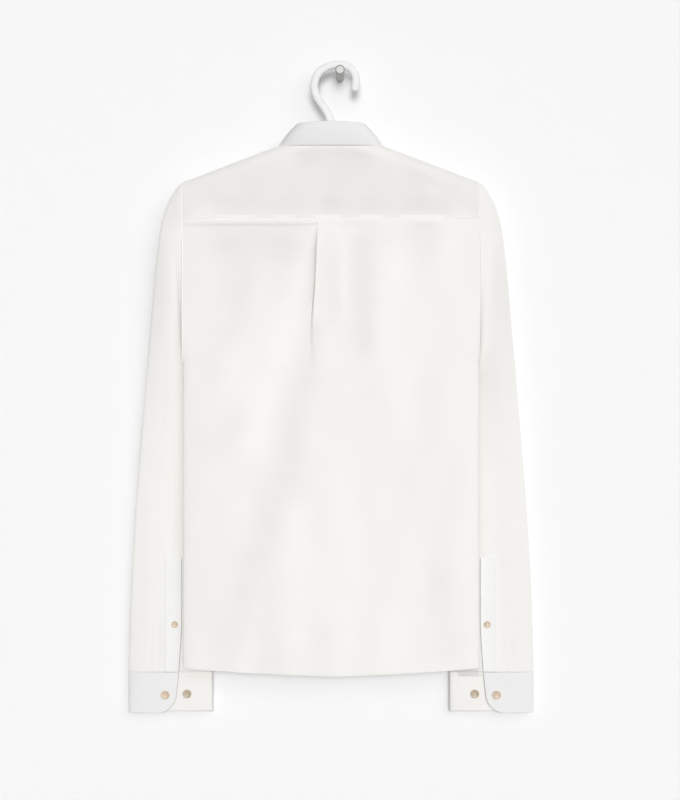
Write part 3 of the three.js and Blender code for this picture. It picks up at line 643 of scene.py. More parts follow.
def pleat_section(k, drop, side):
    """The pleat's section, k from 0 at its middle to 1 past its edge. On the left it is a level face, a
    quarter turn under at the edge on a small circle, a run back, and a turn of the same size into the
    panel. Where the turn has nearly gone it becomes an even slope, so that no two places of k fall
    together. On the right the pleat has opened, and its face falls to the panel as one soft slope. The
    yoke's seam holds both sides down."""
    row = sorted_rows(PLEAT, "drop", drop)
    angle = np.radians(np.maximum(row["turn"] * smooth(drop, 0, PLEAT_HELD), 0.01))
    r = PLEAT_RADIUS
    start = row["edge"] * PLEAT_LEFT[0] + PLEAT_LEFT[1] - r
    arc, first = 0.26, 0.4
    a = np.clip((k - first) / arc, 0, 1) * angle
    run = np.clip((k - first - arc) / (1 - first - 2 * arc), 0, 1) * row["run"]
    b = np.clip((k - 1 + arc) / arc, 0, 1) * angle
    x = start * np.minimum(k / first, 1) + r * np.sin(a) + run * np.cos(angle)
    x = x + r * (np.sin(angle) - np.sin(angle - b))
    fallen = r * (1 - np.cos(a)) + run * np.sin(angle) + r * (np.cos(angle - b) - np.cos(angle))
    end = start + 2 * r * np.sin(angle) + row["run"] * np.cos(angle)
    lift = 2 * r * (1 - np.cos(angle)) + row["run"] * np.sin(angle)
    held = smooth(drop, 0, 4 * PLEAT_HELD)
    turned = smooth(angle, 0.05, 0.6)
    left_x = mix(end * k, x, turned)
    left_lift = lift - mix(lift * smooth(k, 0.25, 1), fallen, turned)
    right_x = (row["edge"] * PLEAT_RIGHT[0] + PLEAT_RIGHT[1]) * k * 1.3
    right_lift = lift * (1 - smooth(k, 0.62, 1))
    return np.where(side < 0, left_x, right_x), np.where(side < 0, left_lift, right_lift) * held


def seam_ridge(x, away):
    """The height of the soft ridge that the yoke's seam makes, uneven along it."""
    uneven = 1 + 0.12 * np.sin(x * 41 + 1.2) + 0.06 * np.sin(x * 97)
    return RIDGE_HEIGHT * uneven * np.exp(-((away / 0.0055) ** 2))


def back_layout(u, v):
    """Where a place of the back lies before it gets its depth: x, z, the pleat's lift and the relief, and
    the hollow, which is painted shade alone. u runs from -1 to 1 across the back, with the pleat in
    its middle half, and v from the yoke's seam to the hem. The pleat's section sets x, and past it x runs
    straight to the side seam. Beside the fold on the left the panel sinks into a wedge, a bell of the
    distance from the fold. The painted shade is a narrower bell there, and even over the panel."""
    top = YOKE_SEAM - SEAM_GAP
    side = np.where(u < 0, -1, 1)
    inside = np.minimum(np.abs(u) / 0.5, 1)
    offset, lift = pleat_section(inside, v * (top - HEM_MIDDLE), side)
    beyond = np.maximum(np.abs(u) - 0.5, 0) / 0.5
    x = mix(PLEAT_X + side * offset, side * HALF_WIDTH, beyond)
    z = mix(top, hem_z(x), v)
    drop = top - z
    away = np.maximum(np.abs(x - PLEAT_X) - PLEAT_LEFT[1] - 0.01, 0)
    wedge = smooth(drop, 0.006, 0.05) * (1 - smooth(drop, 0.09, 0.17)) * np.exp(-((away / 0.013) ** 2))
    wedge = WEDGE_DEPTH * wedge * smooth(inside, 0.55, 0.85) * (side < 0)
    soft = smooth(drop, 0, 0.012) * creased(BACK_CREASES, x, z, 3)
    fold = sorted_rows(PLEAT, "drop", drop)["edge"] * PLEAT_LEFT[0] + PLEAT_LEFT[1]
    wide = BACK_PAINTED_SHADE["wide"] * np.clip(drop / BACK_PAINTED_SHADE["full"], 0.12, 1)
    near = np.exp(-((np.maximum(np.abs(x - PLEAT_X) - fold, 0) / wide) ** 1.5)) * smooth(inside, 0.5, 0.75)
    near = near * smooth(drop, 0.004, 0.02) * (1 - smooth(drop, 0.09, 0.17))
    panel = smooth(drop, 0, 0.012) * (1 - smooth(drop, 0.09, 0.15))
    # Painted shade beside the pleat's fold on the left, and even over the upper panel.
    hollow = (BACK_PAINTED_SHADE["deep"] * near + BACK_PAINTED_SHADE["panel"] * panel) * smooth(PLEAT_X - x, 0, 0.012)
    return x, z, lift, (soft - wedge + seam_ridge(x, drop)) * (1 - beyond**10), hollow


def back_face(u, v):
    """The back: its layout on the torso's form, moved out by the pleat's lift and the relief."""
    x, z, lift, relief, _ = back_layout(u, v)
    return point(x, torso_y(x, z, -1) - lift - relief + lap(YOKE_SEAM - SEAM_GAP - z), z)


def back_shade_relief(u, v):
    """The back's relief, for the painted shade and light of the cloth's colour, less the hollow, which is
    painted shade with no form behind it.
    """
    _, _, _, relief, hollow = back_layout(u, v)
    return relief - hollow


def neck_at(place):
    """The neck's outline by place: 0 at the middle of the back, 1 at the shoulder line and 2 at the middle
    of the front. At the back x grows as a power, and at the front it follows a quarter ellipse."""
    back = 1 - place
    angle = back * -QUARTER
    front_x = NECK_HALF * np.cos(angle)
    front_z = shoulder_z(NECK_HALF) - NECK_FRONT_DROP * np.sin(angle)
    x = np.where(back >= 0, NECK_HALF * (1 - np.abs(back) ** 1.6), front_x)
    return x, np.where(back >= 0, -NECK_BACK_TURN * back, turn_at(shoulder_z(front_x) - front_z))


def yoke_edge(place):
    """The yoke's outer edge by place: along its seam to 1/2, up the armhole to 3/4, down to the front."""
    along = HALF_WIDTH * np.minimum(place / 0.5, 1)
    seam = -turn_at(shoulder_z(along) - YOKE_SEAM)
    corner = -turn_at(shoulder_z(HALF_WIDTH) - YOKE_SEAM)
    up = mix(corner, 0, (place - 0.5) / 0.25)
    down = mix(0, turn_at(YOKE_FRONT_DROP), (place - 0.75) / 0.25)
    return along, np.where(place < 0.5, seam, np.where(place < 0.75, up, down))


def yoke_layout(u, v):
    """Where a place of the yoke lies on the plain torso, and its relief: u from the left front seam round
    the back to the right one, and v from the neck to the outer edge, straight between by x and by turn."""
    place = np.abs(u)
    neck_place = np.where(place < 0.75, place / 0.75, mix(1, 1.26, (place - 0.75) / 0.25))
    inner_x, inner_turn = neck_at(neck_place)
    outer_x, outer_turn = yoke_edge(place)
    x, turn = mix(inner_x, outer_x, v), mix(inner_turn, outer_turn, v)
    spot = torso_by_turn(x, turn)
    x, z = x * np.where(u < 0, -1, 1), spot[..., 2]
    ease = smooth(-turn, 1.0, 1.7) * smooth(v, 0.02, 0.2) * smooth(HALF_WIDTH - np.abs(x), 0, 0.03)
    relief = ease * (creased(YOKE_CREASES, x, z, 11) + seam_ridge(x, z - YOKE_SEAM))
    return point(x, spot[..., 1], z), relief


def yoke_face(u, v):
    """The yoke: its layout, moved out by its relief."""
    spot, relief = yoke_layout(u, v)
    return point(spot[..., 0], spot[..., 1] - relief, spot[..., 2])


def yoke_shade_relief(u, v):
    """The yoke's relief, for the painted shade and light of the cloth's colour, less an even amount that is
    painted shade with no form behind it.
    """
    return yoke_layout(u, v)[1] - BACK_PAINTED_SHADE["yoke"]


def front_point(x, v):
    """The front at x: v from its upper edge, which follows the neck and the yoke, down to the hem."""
    reach = np.minimum(np.abs(x) / NECK_HALF, 1)
    neck = shoulder_z(NECK_HALF) - NECK_FRONT_DROP * np.sqrt(1 - reach**2)
    top = np.minimum(neck, shoulder_z(x) - YOKE_FRONT_DROP) - SEAM_GAP
    z = mix(top, hem_z(x) + FRONT_LIFT, v)
    edge = np.clip((HALF_WIDTH - np.abs(x)) / 0.02, 0, 1)
    soft = smooth(top - z, 0, 0.06) * edge * creased(FRONT_CREASES, x, z, 23)
    return point(x, torso_y(x, z, 1) + soft - lap(top - z), z)


def band_face(u, v):
    """The front band: the front's own points on both sides of the middle, moved out."""
    return front_point(u * BAND_HALF, mix(0, 0.998, v)) + (0, BAND_LIFT, 0)


# ---------- the collar's form ----------


def seam_point(place):
    """The stand's lower edge, on the neck's outline."""
    return torso_by_turn(*neck_at(place))


def fold_point(place):
    """The line where the collar folds over: a flat oval round the neck that dips to the front."""
    back_x = FOLD["half"] * (1 - np.abs(1 - place) ** 1.6)
    share = (back_x / FOLD["half"]) ** 4
    back_y = MID_Y - FOLD["depth"] * np.sqrt(np.maximum(1 - share, 0))
    back = point(back_x, back_y, mix(FOLD["back"], FOLD["side"], share))
    angle = (np.maximum(place, 1) - 1) * QUARTER
    front_y = MID_Y + FOLD["depth"] * np.sqrt(np.maximum(1 - np.cos(angle) ** 6, 0))
    front_z = FOLD["side"] - FOLD["front_drop"] * np.sin(angle) ** 1.4
    return np.where((place <= 1)[..., None], back, point(FOLD["half"] * np.cos(angle), front_y, front_z))


def fall_edge(place):
    """The fall's free edge: over the yoke round the back, and by FALL_FRONT down to its point."""
    back_x = FALL["half"] * (1 - np.abs(1 - place) ** 1.8)
    share = (back_x / FALL["half"]) ** 5
    back_z = mix(FALL["back_z"], FALL["side_z"], share)
    back_y = torso_y(back_x, back_z, -1) - FALL["clear"] * (1 - share)
    row = between(FALL_FRONT, (np.maximum(place, 1) - 1) * (len(FALL_FRONT["x"]) - 1))
    back = point(back_x, back_y, back_z)
    return np.where((place <= 1)[..., None], back, point(row["x"], row["y"], row["z"]))


def stand_face(u, v):
    """The stand: u from its right end round the back to its left end, and v up from the neck's seam,
    straight towards the fold. At the front the left end lies over the right one."""
    place = np.minimum(np.abs(u), 2)
    low, high = seam_point(place), fold_point(place)
    length = np.linalg.norm(high - low, axis=-1)
    room = STAND_TOP * (1 + smooth(place, 1.5, 1.7))
    clear = 2 * SEAM_GAP + THICK["yoke"] / 2
    share = mix(clear, length - room, v) / length
    spot = mix(low, high, share[..., None])
    side, over = np.where(u < 0, -1, 1), smooth(place, 1.7, 2)
    return point(side * (spot[..., 0] - 0.011 * over), spot[..., 1] - side * 0.0013 * over, spot[..., 2])


RISE_SHARE = 0.08
ROLL_SHARE = 0.44


def fall_face(u, v):
    """The fall: v rises from the stand's top, rolls over the fold on a half circle and runs down to the
    free edge with a slight crown. The half circle stands on the stand's own rise and the fold's line."""
    place = np.minimum(np.abs(u), 2)
    side = np.where(u < 0, -1, 1)
    top = fold_point(place)
    ahead = fold_point(np.minimum(place + 0.01, 2)) - fold_point(np.maximum(place - 0.01, 0))
    rise = unit(top - seam_point(place))
    out = unit(np.cross(ahead, rise))
    radius = FALL["roll"] - THICK["collar"] / 2
    turned = (np.clip((v - RISE_SHARE) / (ROLL_SHARE - RISE_SHARE), 0, 1) * np.pi)[..., None]
    inner = (STAND_TOP - 2 * SEAM_GAP - radius) * (1 - smooth(place, 1.5, 1.7))
    below = (np.maximum(1 - v / RISE_SHARE, 0) * inner)[..., None]
    spot = top + out * radius * (1 - np.cos(turned)) + rise * (radius * (np.sin(turned) - 1) - below)
    down = np.clip((v - ROLL_SHARE) / (1 - ROLL_SHARE), 0, 1)[..., None]
    spot = mix(spot, fall_edge(place), down) + out * np.sin(down * np.pi) * 0.0012
    front = smooth(place, 1.75, 2) * 0.004 * (1 - down[..., 0])
    return point(side * (spot[..., 0] + front), spot[..., 1], spot[..., 2])


def collar_end_shade(u, v):
    """Painted shade with no form behind it, which grows smoothly to the fall's left end. It is the same for all
    v.
    """
    return FALL_PAINTED_SHADE * smooth(-u, 0.35, 1.0)


# ---------- the sleeves and cuffs ----------


def sleeve_point(name, angle, v):
    """A sleeve's wall: v from the armhole to the cuff, angle 0 on the upper edge and a half turn on the
    lower one. The section is a flat oval between two edges that follow the table of rings. Its cap keeps
    the armhole's outline, and beside the body the sleeve falls back into a trough. Below v = 0 it runs in
    under the body's edge, and past v = 1 down into the cuff."""
    place = v * SLEEVE_RINGS
    ring = between(SLEEVE, place)
    f = (1 - np.cos(angle)) / 2
    x, z = mix(ring["ox"], ring["ix"], f), mix(ring["oz"], ring["iz"], f)
    sine = np.sin(angle)
    tucked = lap(place * CAP_RUN)
    low = smooth(place, SLEEVE_RINGS - 0.05, SLEEVE_RINGS + 0.01)
    cap = np.sin(np.minimum(turn_at(ring["oz"] - z), QUARTER))
    hole = cap * armhole_depth(z + UNDERARM - ring["iz"], 0)
    half = mix(hole, ring["half"] * np.abs(sine) ** 0.62, smooth(place, 0, 3))
    ease = smooth(v, 0.18, 0.4) * (1 - smooth(v, 0.94, 1)) * np.abs(sine)
    shift = np.where(sine < 0, 0.035, 0)
    seed = 31 if name == "left" else 37
    soft = ease * creased(SLEEVE_CREASES[name], x, z + shift, seed)
    tucks = smooth(v, 0.6, 0.8) * smooth(np.abs(sine), 0.1, 0.5) * folds(CUFF_TUCKS[name], x, z)
    beside = np.minimum(place / 0.5, 1) * (1 - smooth(x, TROUGH["x"], TROUGH["x"] + TROUGH["reach"]))
    fallen = smooth(TROUGH["start"] - z, 0, TROUGH["start"] - TROUGH["full"]) * np.maximum(sine, 0) ** 0.4
    room = np.maximum(2 * half - 2 * THICK["sleeve"], 0)
    sunk = np.minimum(TROUGH["deep"] * beside * fallen * (1 - smooth(place, 2, 5)), room)
    drawn = (tucked + CUFF_TUCK * low) * np.abs(sine) ** 0.5
    y = mix(ring["oy"], ring["iy"], f) - np.sign(sine) * (half + soft + tucks - drawn)
    x = x + np.minimum(place, 0) * CAP_RUN - CUFF_TUCK * low * np.cos(angle)
    return point(x, y + sunk, z - tucked * np.cos(angle) - np.maximum(place - SLEEVE_RINGS, 0) * CAP_RUN)


def sleeve_shade_and_light(name, angle, v):
    """Painted shade and light on the sleeve with no form behind it: painted shade that fades from the body's
    edge outward on an exponential, shallow above and deeper below, painted light beside the armhole that is a
    bell, and an even painted light."""
    high, low, rise = SLEEVE_PAINTED_SHADING[name]
    spot = sleeve_point(name, angle, v)
    x, z = spot[..., 0], spot[..., 2]
    away = np.maximum(x - HALF_WIDTH, 0)
    # Painted shade beside the body's edge, painted light beside the armhole, and an even painted light.
    hollow = mix(high, low, smooth(-0.3 - z, 0, 0.12)) * np.exp(-away / 0.0055)
    painted_light = rise * (1 - smooth(-0.35 - z, 0, 0.09)) * np.exp(-((away / 0.022) ** 2))
    return (SLEEVE_PAINTED_LIGHT + painted_light - hollow) * smooth(TROUGH["start"] - z, 0, 0.03) * (np.sin(angle) > 0)


def placket_point(name, u, v):
    """The placket on the sleeve: the sleeve's own points between two lines, moved out."""
    along = mix(PLACKET["top"], 0.999, v)
    ring = between(SLEEVE, along * SLEEVE_RINGS)
    free = mix(PLACKET["free"], PLACKET["free_low"], smooth(v, 0.55, 1))
    x = mix(PLACKET["outer"], free, u)
    angle = np.arccos(np.clip(1 - 2 * (x - ring["ox"]) / (ring["ix"] - ring["ox"]), -1, 1))
    return sleeve_point(name, angle, along) - (0, PLACKET["lift"], 0)


def cuff_point(angle, z, inset=0.0):
    """A cuff's wall: angle 0 on the inner folded edge and a quarter turn on the side away from the wall. x
    follows a power of the cosine, and the depth a power of the sine."""
    x = CUFF_MID_X - (CUFF_HALF - THICK["cuff"] / 2) * power(np.cos(angle), 0.8)
    puff = 0.0006 * np.sin(angle * 3 + z * 60) * bpy.context.scene.shirt_sizes.crease_depth
    return point(x, CUFF_Y - (CUFF_DEPTH - inset + puff) * power(np.sin(angle), 0.7), z)


def cuff_angle(x):
    """The angle of a cuff's wall at x."""
    return np.arccos(power((CUFF_MID_X - x) / (CUFF_HALF - THICK["cuff"] / 2), 1 / 0.8))


def free_edge(z):
    """The overlap's free edge: it leans outwards, and turns into the lower edge on a quarter circle."""
    low = CUFF_BOTTOM + CUFF_CORNER
    lean = mix(CUFF_FREE[0], CUFF_FREE[1], np.clip((CUFF_TOP - z) / (CUFF_TOP - low), 0, 1))
    below = np.clip((low - z) / CUFF_CORNER, 0, 0.985)
    return lean + CUFF_CORNER * (1 - np.sqrt(1 - below**2))


def cuff_face(u, v):
    """The cuff from its free edge round the arm, and from its seam down."""
    z = mix(CUFF_TOP, CUFF_BOTTOM, v)
    return cuff_point(mix(cuff_angle(free_edge(z)), 2 * np.pi - 0.02, u), z)


def underlap_face(u, v):
    """The end of the cuff that lies below the overlap."""
    angle = mix(0.02, cuff_angle(UNDER_REACH), u)
    return cuff_point(angle, mix(CUFF_TOP, UNDER_BOTTOM, v), CUFF_STEP * smooth(angle, 0, 0.9))


def underlap_shade(u, v):
    """Even painted shade on the underlap with no form behind it."""
    return -UNDER_PAINTED_SHADE + 0 * u


# ---------- materials ----------


class Graph:
    """Adds nodes to a node tree and joins them: a value that is a socket is linked, another one is set."""

    def __init__(self, tree):
        self.tree = tree

    def set(self, socket, value):
        if isinstance(value, bpy.types.NodeSocket):
            self.tree.links.new(value, socket)
        else:
            socket.default_value = value

    def node(self, kind, settings=None, **inputs):
        node = self.tree.nodes.new(kind)
        for name, value in (settings or {}).items():
            setattr(node, name, value)
        for name, value in inputs.items():
            self.set(node.inputs[name.replace("_", " ")], value)
        return node

    def math(self, operation, *values):
        node = self.node("ShaderNodeMath", {"operation": operation})
        for socket, value in zip(node.inputs, values):
            self.set(socket, value)
        return node.outputs[0]

    def span(self, value, low, high, to_low, to_high):
        node = self.node("ShaderNodeMapRange")
        for socket, one in zip(node.inputs, (value, low, high, to_low, to_high)):
            self.set(socket, one)
        return node.outputs[0]

    def blend(self, share, a, b, kind="MIX"):
        node = self.node("ShaderNodeMix", {"data_type": "RGBA", "blend_type": kind})
        for socket, value in zip((node.inputs[0], node.inputs[6], node.inputs[7]), (share, a, b)):
            self.set(socket, value)
        return node.outputs[2]

    def noise(self, vector, scale, detail=2.0, rough=0.5):
        node = self.node("ShaderNodeTexNoise", Vector=vector, Scale=scale, Detail=detail, Roughness=rough)
        return node.outputs[0]


def shader_group(name, inputs, outputs, fill):
    """A shader node group with named inputs and outputs, built once and then found by its name. Inputs
    are (name, socket type, default), outputs (name, socket type), and fill makes the nodes between."""
    tree = bpy.data.node_groups.get(name)
    if tree:
        return tree
    tree = bpy.data.node_groups.new(name, "ShaderNodeTree")
    for label, kind, default in inputs:
        socket = tree.interface.new_socket(label, in_out="INPUT", socket_type=kind)
        if default is not None:
            socket.default_value = default
    for label, kind in outputs:
        tree.interface.new_socket(label, in_out="OUTPUT", socket_type=kind)
    graph = Graph(tree)
    start, end = graph.node("NodeGroupInput"), graph.node("NodeGroupOutput")
    for socket, value in zip(end.inputs, fill(graph, start.outputs)):
        graph.set(socket, value)
    return tree


def knit_group():
    """Pique: a lattice of small raised diamonds, from the difference of two cosines along the cloth's
    length and width, with a fine fuzz over it. Gives the height, and how deep a place lies."""

    def fill(graph, given):
        axes = graph.node("ShaderNodeSeparateXYZ", Vector=given["Cloth"])
        wobble = graph.noise(given["Cloth"], 180.0, 1.0)
        waves = []
        for axis, stretch in ((0, 1.0), (1, 0.8)):
            turns = graph.math("DIVIDE", axes.outputs[axis], given["Pitch"])
            turns = graph.math("MULTIPLY_ADD", turns, stretch, graph.math("MULTIPLY", wobble, 0.35))
            waves.append(graph.math("COSINE", graph.math("MULTIPLY", turns, 2 * np.pi)))
        cell = graph.math("ABSOLUTE", graph.math("SUBTRACT", *waves))
        raised = graph.math("POWER", graph.math("MULTIPLY", cell, 0.5), 0.6)
        fuzz = graph.noise(given["Cloth"], 5200.0, 2.0)
        height = graph.math("MULTIPLY_ADD", fuzz, 0.25, raised)
        return height, graph.math("SUBTRACT", 1.0, graph.math("MULTIPLY", height, 0.8))

    inputs = [("Cloth", "NodeSocketVector", None), ("Pitch", "NodeSocketFloat", 0.0012)]
    outputs = [("Height", "NodeSocketFloat"), ("Hollow", "NodeSocketFloat")]
    return shader_group("pique knit", inputs, outputs, fill)


def weave_group():
    """Plain weave: two sets of round threads, each above the other at every second crossing. The sign of
    the product of two sines picks the set on top, and that set's own wave is the height."""

    def fill(graph, given):
        axes = graph.node("ShaderNodeSeparateXYZ", Vector=given["Cloth"])
        turns = [graph.math("DIVIDE", axes.outputs[axis], given["Pitch"]) for axis in (0, 1)]
        across, down = (graph.math("SINE", graph.math("MULTIPLY", turn, np.pi)) for turn in turns)
        pick = graph.math("GREATER_THAN", graph.math("MULTIPLY", across, down), 0.0)
        first, second = (graph.math("ABSOLUTE", wave) for wave in (across, down))
        mixed = graph.math("MULTIPLY_ADD", pick, graph.math("SUBTRACT", first, second), second)
        slub = graph.noise(given["Cloth"], 900.0, 2.0)
        height = graph.math("MULTIPLY_ADD", slub, 0.3, mixed)
        return height, graph.math("SUBTRACT", 1.0, graph.math("MULTIPLY", height, 0.75))

    inputs = [("Cloth", "NodeSocketVector", None), ("Pitch", "NodeSocketFloat", 0.00035)]
    outputs = [("Height", "NodeSocketFloat"), ("Hollow", "NodeSocketFloat")]
    return shader_group("plain weave", inputs, outputs, fill)


# The share by which the colour changes for each millimetre of the relief attribute, as painted shade where the
# relief is low and painted light where it is high.
RELIEF_SHADE_SHARE = 0.02


def tone_and_shade_group():
    """Slow unevenness of a colour: it is multiplied by a shade that drifts over a hand's width, with a
    finer drift over that, with painted shade in the hollows of the weave, and multiplied by 1 plus a share
    of the relief attribute, which paints shade where the relief is low and light where it is high."""

    def fill(graph, given):
        slow = graph.noise(given["Place"], 9.0, 3.0)
        fine = graph.noise(given["Place"], 160.0, 2.0)
        shade = graph.math("MULTIPLY_ADD", fine, 0.3, graph.math("MULTIPLY", slow, 0.7))
        dark = graph.math("MULTIPLY", graph.span(shade, 0.3, 0.7, 1.0, 0.0), given["Amount"])
        # Painted shade in the hollows of the weave, on top of the random drift.
        dark = graph.math("MULTIPLY_ADD", given["Hollow"], given["Depth"], dark)
        tone = graph.blend(dark, given["Colour"], given["Shade"])
        # Painted shade and light: darker where the relief attribute is low, lighter where it is high.
        trough = graph.math("MULTIPLY_ADD", given["Relief"], RELIEF_SHADE_SHARE, 1.0)
        return graph.blend(1.0, tone, trough, "MULTIPLY"), graph.span(shade, 0.3, 0.7, -0.04, 0.04)

    inputs = [
        ("Colour", "NodeSocketColor", (1, 1, 1, 1)),
        ("Shade", "NodeSocketColor", (0.6, 0.6, 0.6, 1)),
        ("Place", "NodeSocketVector", None),
        ("Hollow", "NodeSocketFloat", 0.0),
        ("Amount", "NodeSocketFloat", 0.05),
        ("Depth", "NodeSocketFloat", 0.1),
        ("Relief", "NodeSocketFloat", 0.0),
    ]
    outputs = [("Colour", "NodeSocketColor"), ("Drift", "NodeSocketFloat")]
    return shader_group("tone drift and painted shade", inputs, outputs, fill)


def grain_group():
    """Streaks: a noise that is stretched along one axis, for horn and for brushed metal."""

    def fill(graph, given):
        stretched = graph.node("ShaderNodeMapping", Vector=given["Place"], Scale=given["Stretch"])
        coarse = graph.noise(stretched.outputs[0], given["Scale"], 3.0, 0.6)
        fine = graph.noise(stretched.outputs[0], graph.math("MULTIPLY", given["Scale"], 5.0), 2.0)
        return (graph.math("MULTIPLY_ADD", fine, 0.35, graph.math("MULTIPLY", coarse, 0.65)),)

    inputs = [
        ("Place", "NodeSocketVector", None),
        ("Stretch", "NodeSocketVector", (1, 1, 1)),
        ("Scale", "NodeSocketFloat", 300.0),
    ]
    return shader_group("grain", inputs, [("Streak", "NodeSocketFloat")], fill)


def new_material(name, build, **constants):
    """A material whose Principled shader has its constants set on its own sockets, and the rest of its
    look joined up by build, found by its name once it is made. The names differ from the CAD's slots."""
    material = bpy.data.materials.get(name)
    if material:
        return material
    material = bpy.data.materials.new(name)
    material.use_nodes = True
    shader = material.node_tree.nodes["Principled BSDF"]
    for socket, value in constants.items():
        shader.inputs[socket.replace("_", " ")].default_value = value
    build(Graph(material.node_tree), shader)
    return material


def placed(graph, tree, **inputs):
    """A node group placed in a material."""
    node = graph.node("ShaderNodeGroup", {"node_tree": tree})
    for name, value in inputs.items():
        graph.set(node.inputs[name], value)
    return node


def object_place(graph):
    """The object coordinates of a piece, in metres."""
    return graph.node("ShaderNodeTexCoord").outputs["Object"]


def bumped(graph, shader, height, distance, strength):
    """Sends a height through a Bump node to the shader's normal."""
    node = graph.node("ShaderNodeBump", Height=height, Distance=distance, Strength=strength)
    graph.set(shader.inputs["Normal"], node.outputs[0])


def cloth_material(name, colour, shade, pattern, pitch, depth, rough, amount=0.05, hollow=0.12, sheen=0.12):
    """Cotton: a weave or knit that follows the piece's own flat layout, uneven tone, and a soft sheen. The
    painted shade in the weave's hollows is set by hollow, and the relief attribute adds painted shade and
    painted light.
    """

    def build(graph, shader):
        flat = graph.node("ShaderNodeUVMap", {"uv_map": "cloth"}).outputs[0]
        threads = placed(graph, pattern, Cloth=flat, Pitch=pitch)
        tone = placed(
            graph,
            tone_and_shade_group(),
            Colour=(*colour, 1),
            Shade=(*shade, 1),
            Place=object_place(graph),
            Hollow=threads.outputs["Hollow"],
            Amount=amount,
            Depth=hollow,
            # The relief attribute carries the painted shade and painted light.
            Relief=graph.node("ShaderNodeAttribute", {"attribute_name": "relief"}).outputs["Fac"],
        )
        graph.set(shader.inputs["Base Color"], tone.outputs["Colour"])
        lift = graph.span(threads.outputs["Height"], 0.0, 1.0, rough + 0.05, rough - 0.03)
        graph.set(shader.inputs["Roughness"], graph.math("ADD", lift, tone.outputs["Drift"]))
        bumped(graph, shader, threads.outputs["Height"], depth, 0.7)

    constants = {"Sheen_Weight": sheen, "Sheen_Roughness": 0.45, "Specular_IOR_Level": 0.25}
    return new_material(name, build, **constants)


def pique_material():
    """The body's warm off-white pique."""
    colours, sizes = bpy.context.scene.shirt_colours, bpy.context.scene.shirt_sizes
    args = (colours.pique, colours.pique_shade, knit_group(), sizes.knit_pitch, 0.00022, 0.92)
    return cloth_material("pique cloth", *args, amount=0.02, hollow=0.08)


def poplin_material(name="poplin cloth"):
    """The collar's and cuffs' cooler and smoother poplin, or a copy of it for the plackets whose colour is
    painted lighter, as painted light.
    """
    colours, sizes = bpy.context.scene.shirt_colours, bpy.context.scene.shirt_sizes
    colour = colours.placket if name == "placket poplin painted light" else colours.poplin
    args = (colour, colours.poplin_shade, weave_group(), sizes.weave_pitch, 0.00007, 0.82)
    return cloth_material(name, *args, amount=0.04, hollow=0.06, sheen=0.08)


def thread_material(name="sewing thread"):
    """Sewing thread, cotton with a slight twist, or the twisted cord of the edging."""

    def build(graph, shader):
        colours = bpy.context.scene.shirt_colours
        colour = (*(colours.edging if name == "edging cord" else colours.thread), 1)
        place = object_place(graph)
        twist = graph.noise(place, 2600.0, 2.0)
        dark = (*(0.9 * c for c in colour[:3]), 1)
        graph.set(shader.inputs["Base Color"], graph.blend(twist, colour, dark))
        graph.set(shader.inputs["Roughness"], graph.span(twist, 0.0, 1.0, 0.6, 0.8))
        bumped(graph, shader, twist, 0.00008, 0.5)

    return new_material(name, build, Sheen_Weight=0.1)


def horn_material(name, colour, light):
    """Polished horn: streaks and a cloudy light patch in a warm brown, glossy with fine scratches."""

    def build(graph, shader):
        place = object_place(graph)
        streak = placed(graph, grain_group(), Place=place, Stretch=(1.0, 1.0, 0.3), Scale=420.0)
        share = graph.span(streak.outputs[0], 0.35, 0.65, 0.0, 1.0)
        graph.set(shader.inputs["Base Color"], graph.blend(share, (*colour, 1), (*light, 1)))
        scratch = graph.noise(place, 2400.0, 3.0)
        graph.set(shader.inputs["Roughness"], graph.span(scratch, 0.2, 0.8, 0.28, 0.5))
        bumped(graph, shader, scratch, 0.00003, 0.4)

    return new_material(name, build, Coat_Weight=0.2)


def plastic_material():
    """White moulded plastic, with a fine mould grain and a few dull handled places."""

    def build(graph, shader):
        place = object_place(graph)
        colour = bpy.context.scene.shirt_colours.plastic
        shade = (0.6, 0.6, 0.58, 1)
        inputs = {"Colour": (*colour, 1), "Shade": shade, "Place": place}
        tone = placed(graph, tone_and_shade_group(), Amount=0.06, Depth=0.0, **inputs)
        graph.set(shader.inputs["Base Color"], tone.outputs["Colour"])
        grain = graph.noise(place, 1400.0, 3.0)
        rough = graph.math("ADD", graph.span(grain, 0, 1, 0.5, 0.62), tone.outputs[1])
        graph.set(shader.inputs["Roughness"], rough)
        bumped(graph, shader, grain, 0.00004, 0.35)

    glow = {"Subsurface_Weight": 0.4, "Subsurface_Radius": (1, 1, 1), "Subsurface_Scale": 0.004}
    return new_material("moulded plastic", build, **glow)


def metal_material():
    """Brushed metal: fine rings round the axis, from a noise stretched along it, and dull specks."""

    def build(graph, shader):
        place = object_place(graph)
        colour = bpy.context.scene.shirt_colours.metal
        streak = placed(graph, grain_group(), Place=place, Stretch=(1.0, 12.0, 1.0), Scale=240.0)
        dark = (*(0.72 * c for c in colour), 1)
        graph.set(shader.inputs["Base Color"], graph.blend(streak.outputs[0], dark, (*colour, 1)))
        graph.set(shader.inputs["Roughness"], graph.span(streak.outputs[0], 0.2, 0.8, 0.55, 0.72))
        bumped(graph, shader, streak.outputs[0], 0.00005, 0.4)

    return new_material("brushed metal", build, Metallic=1.0)


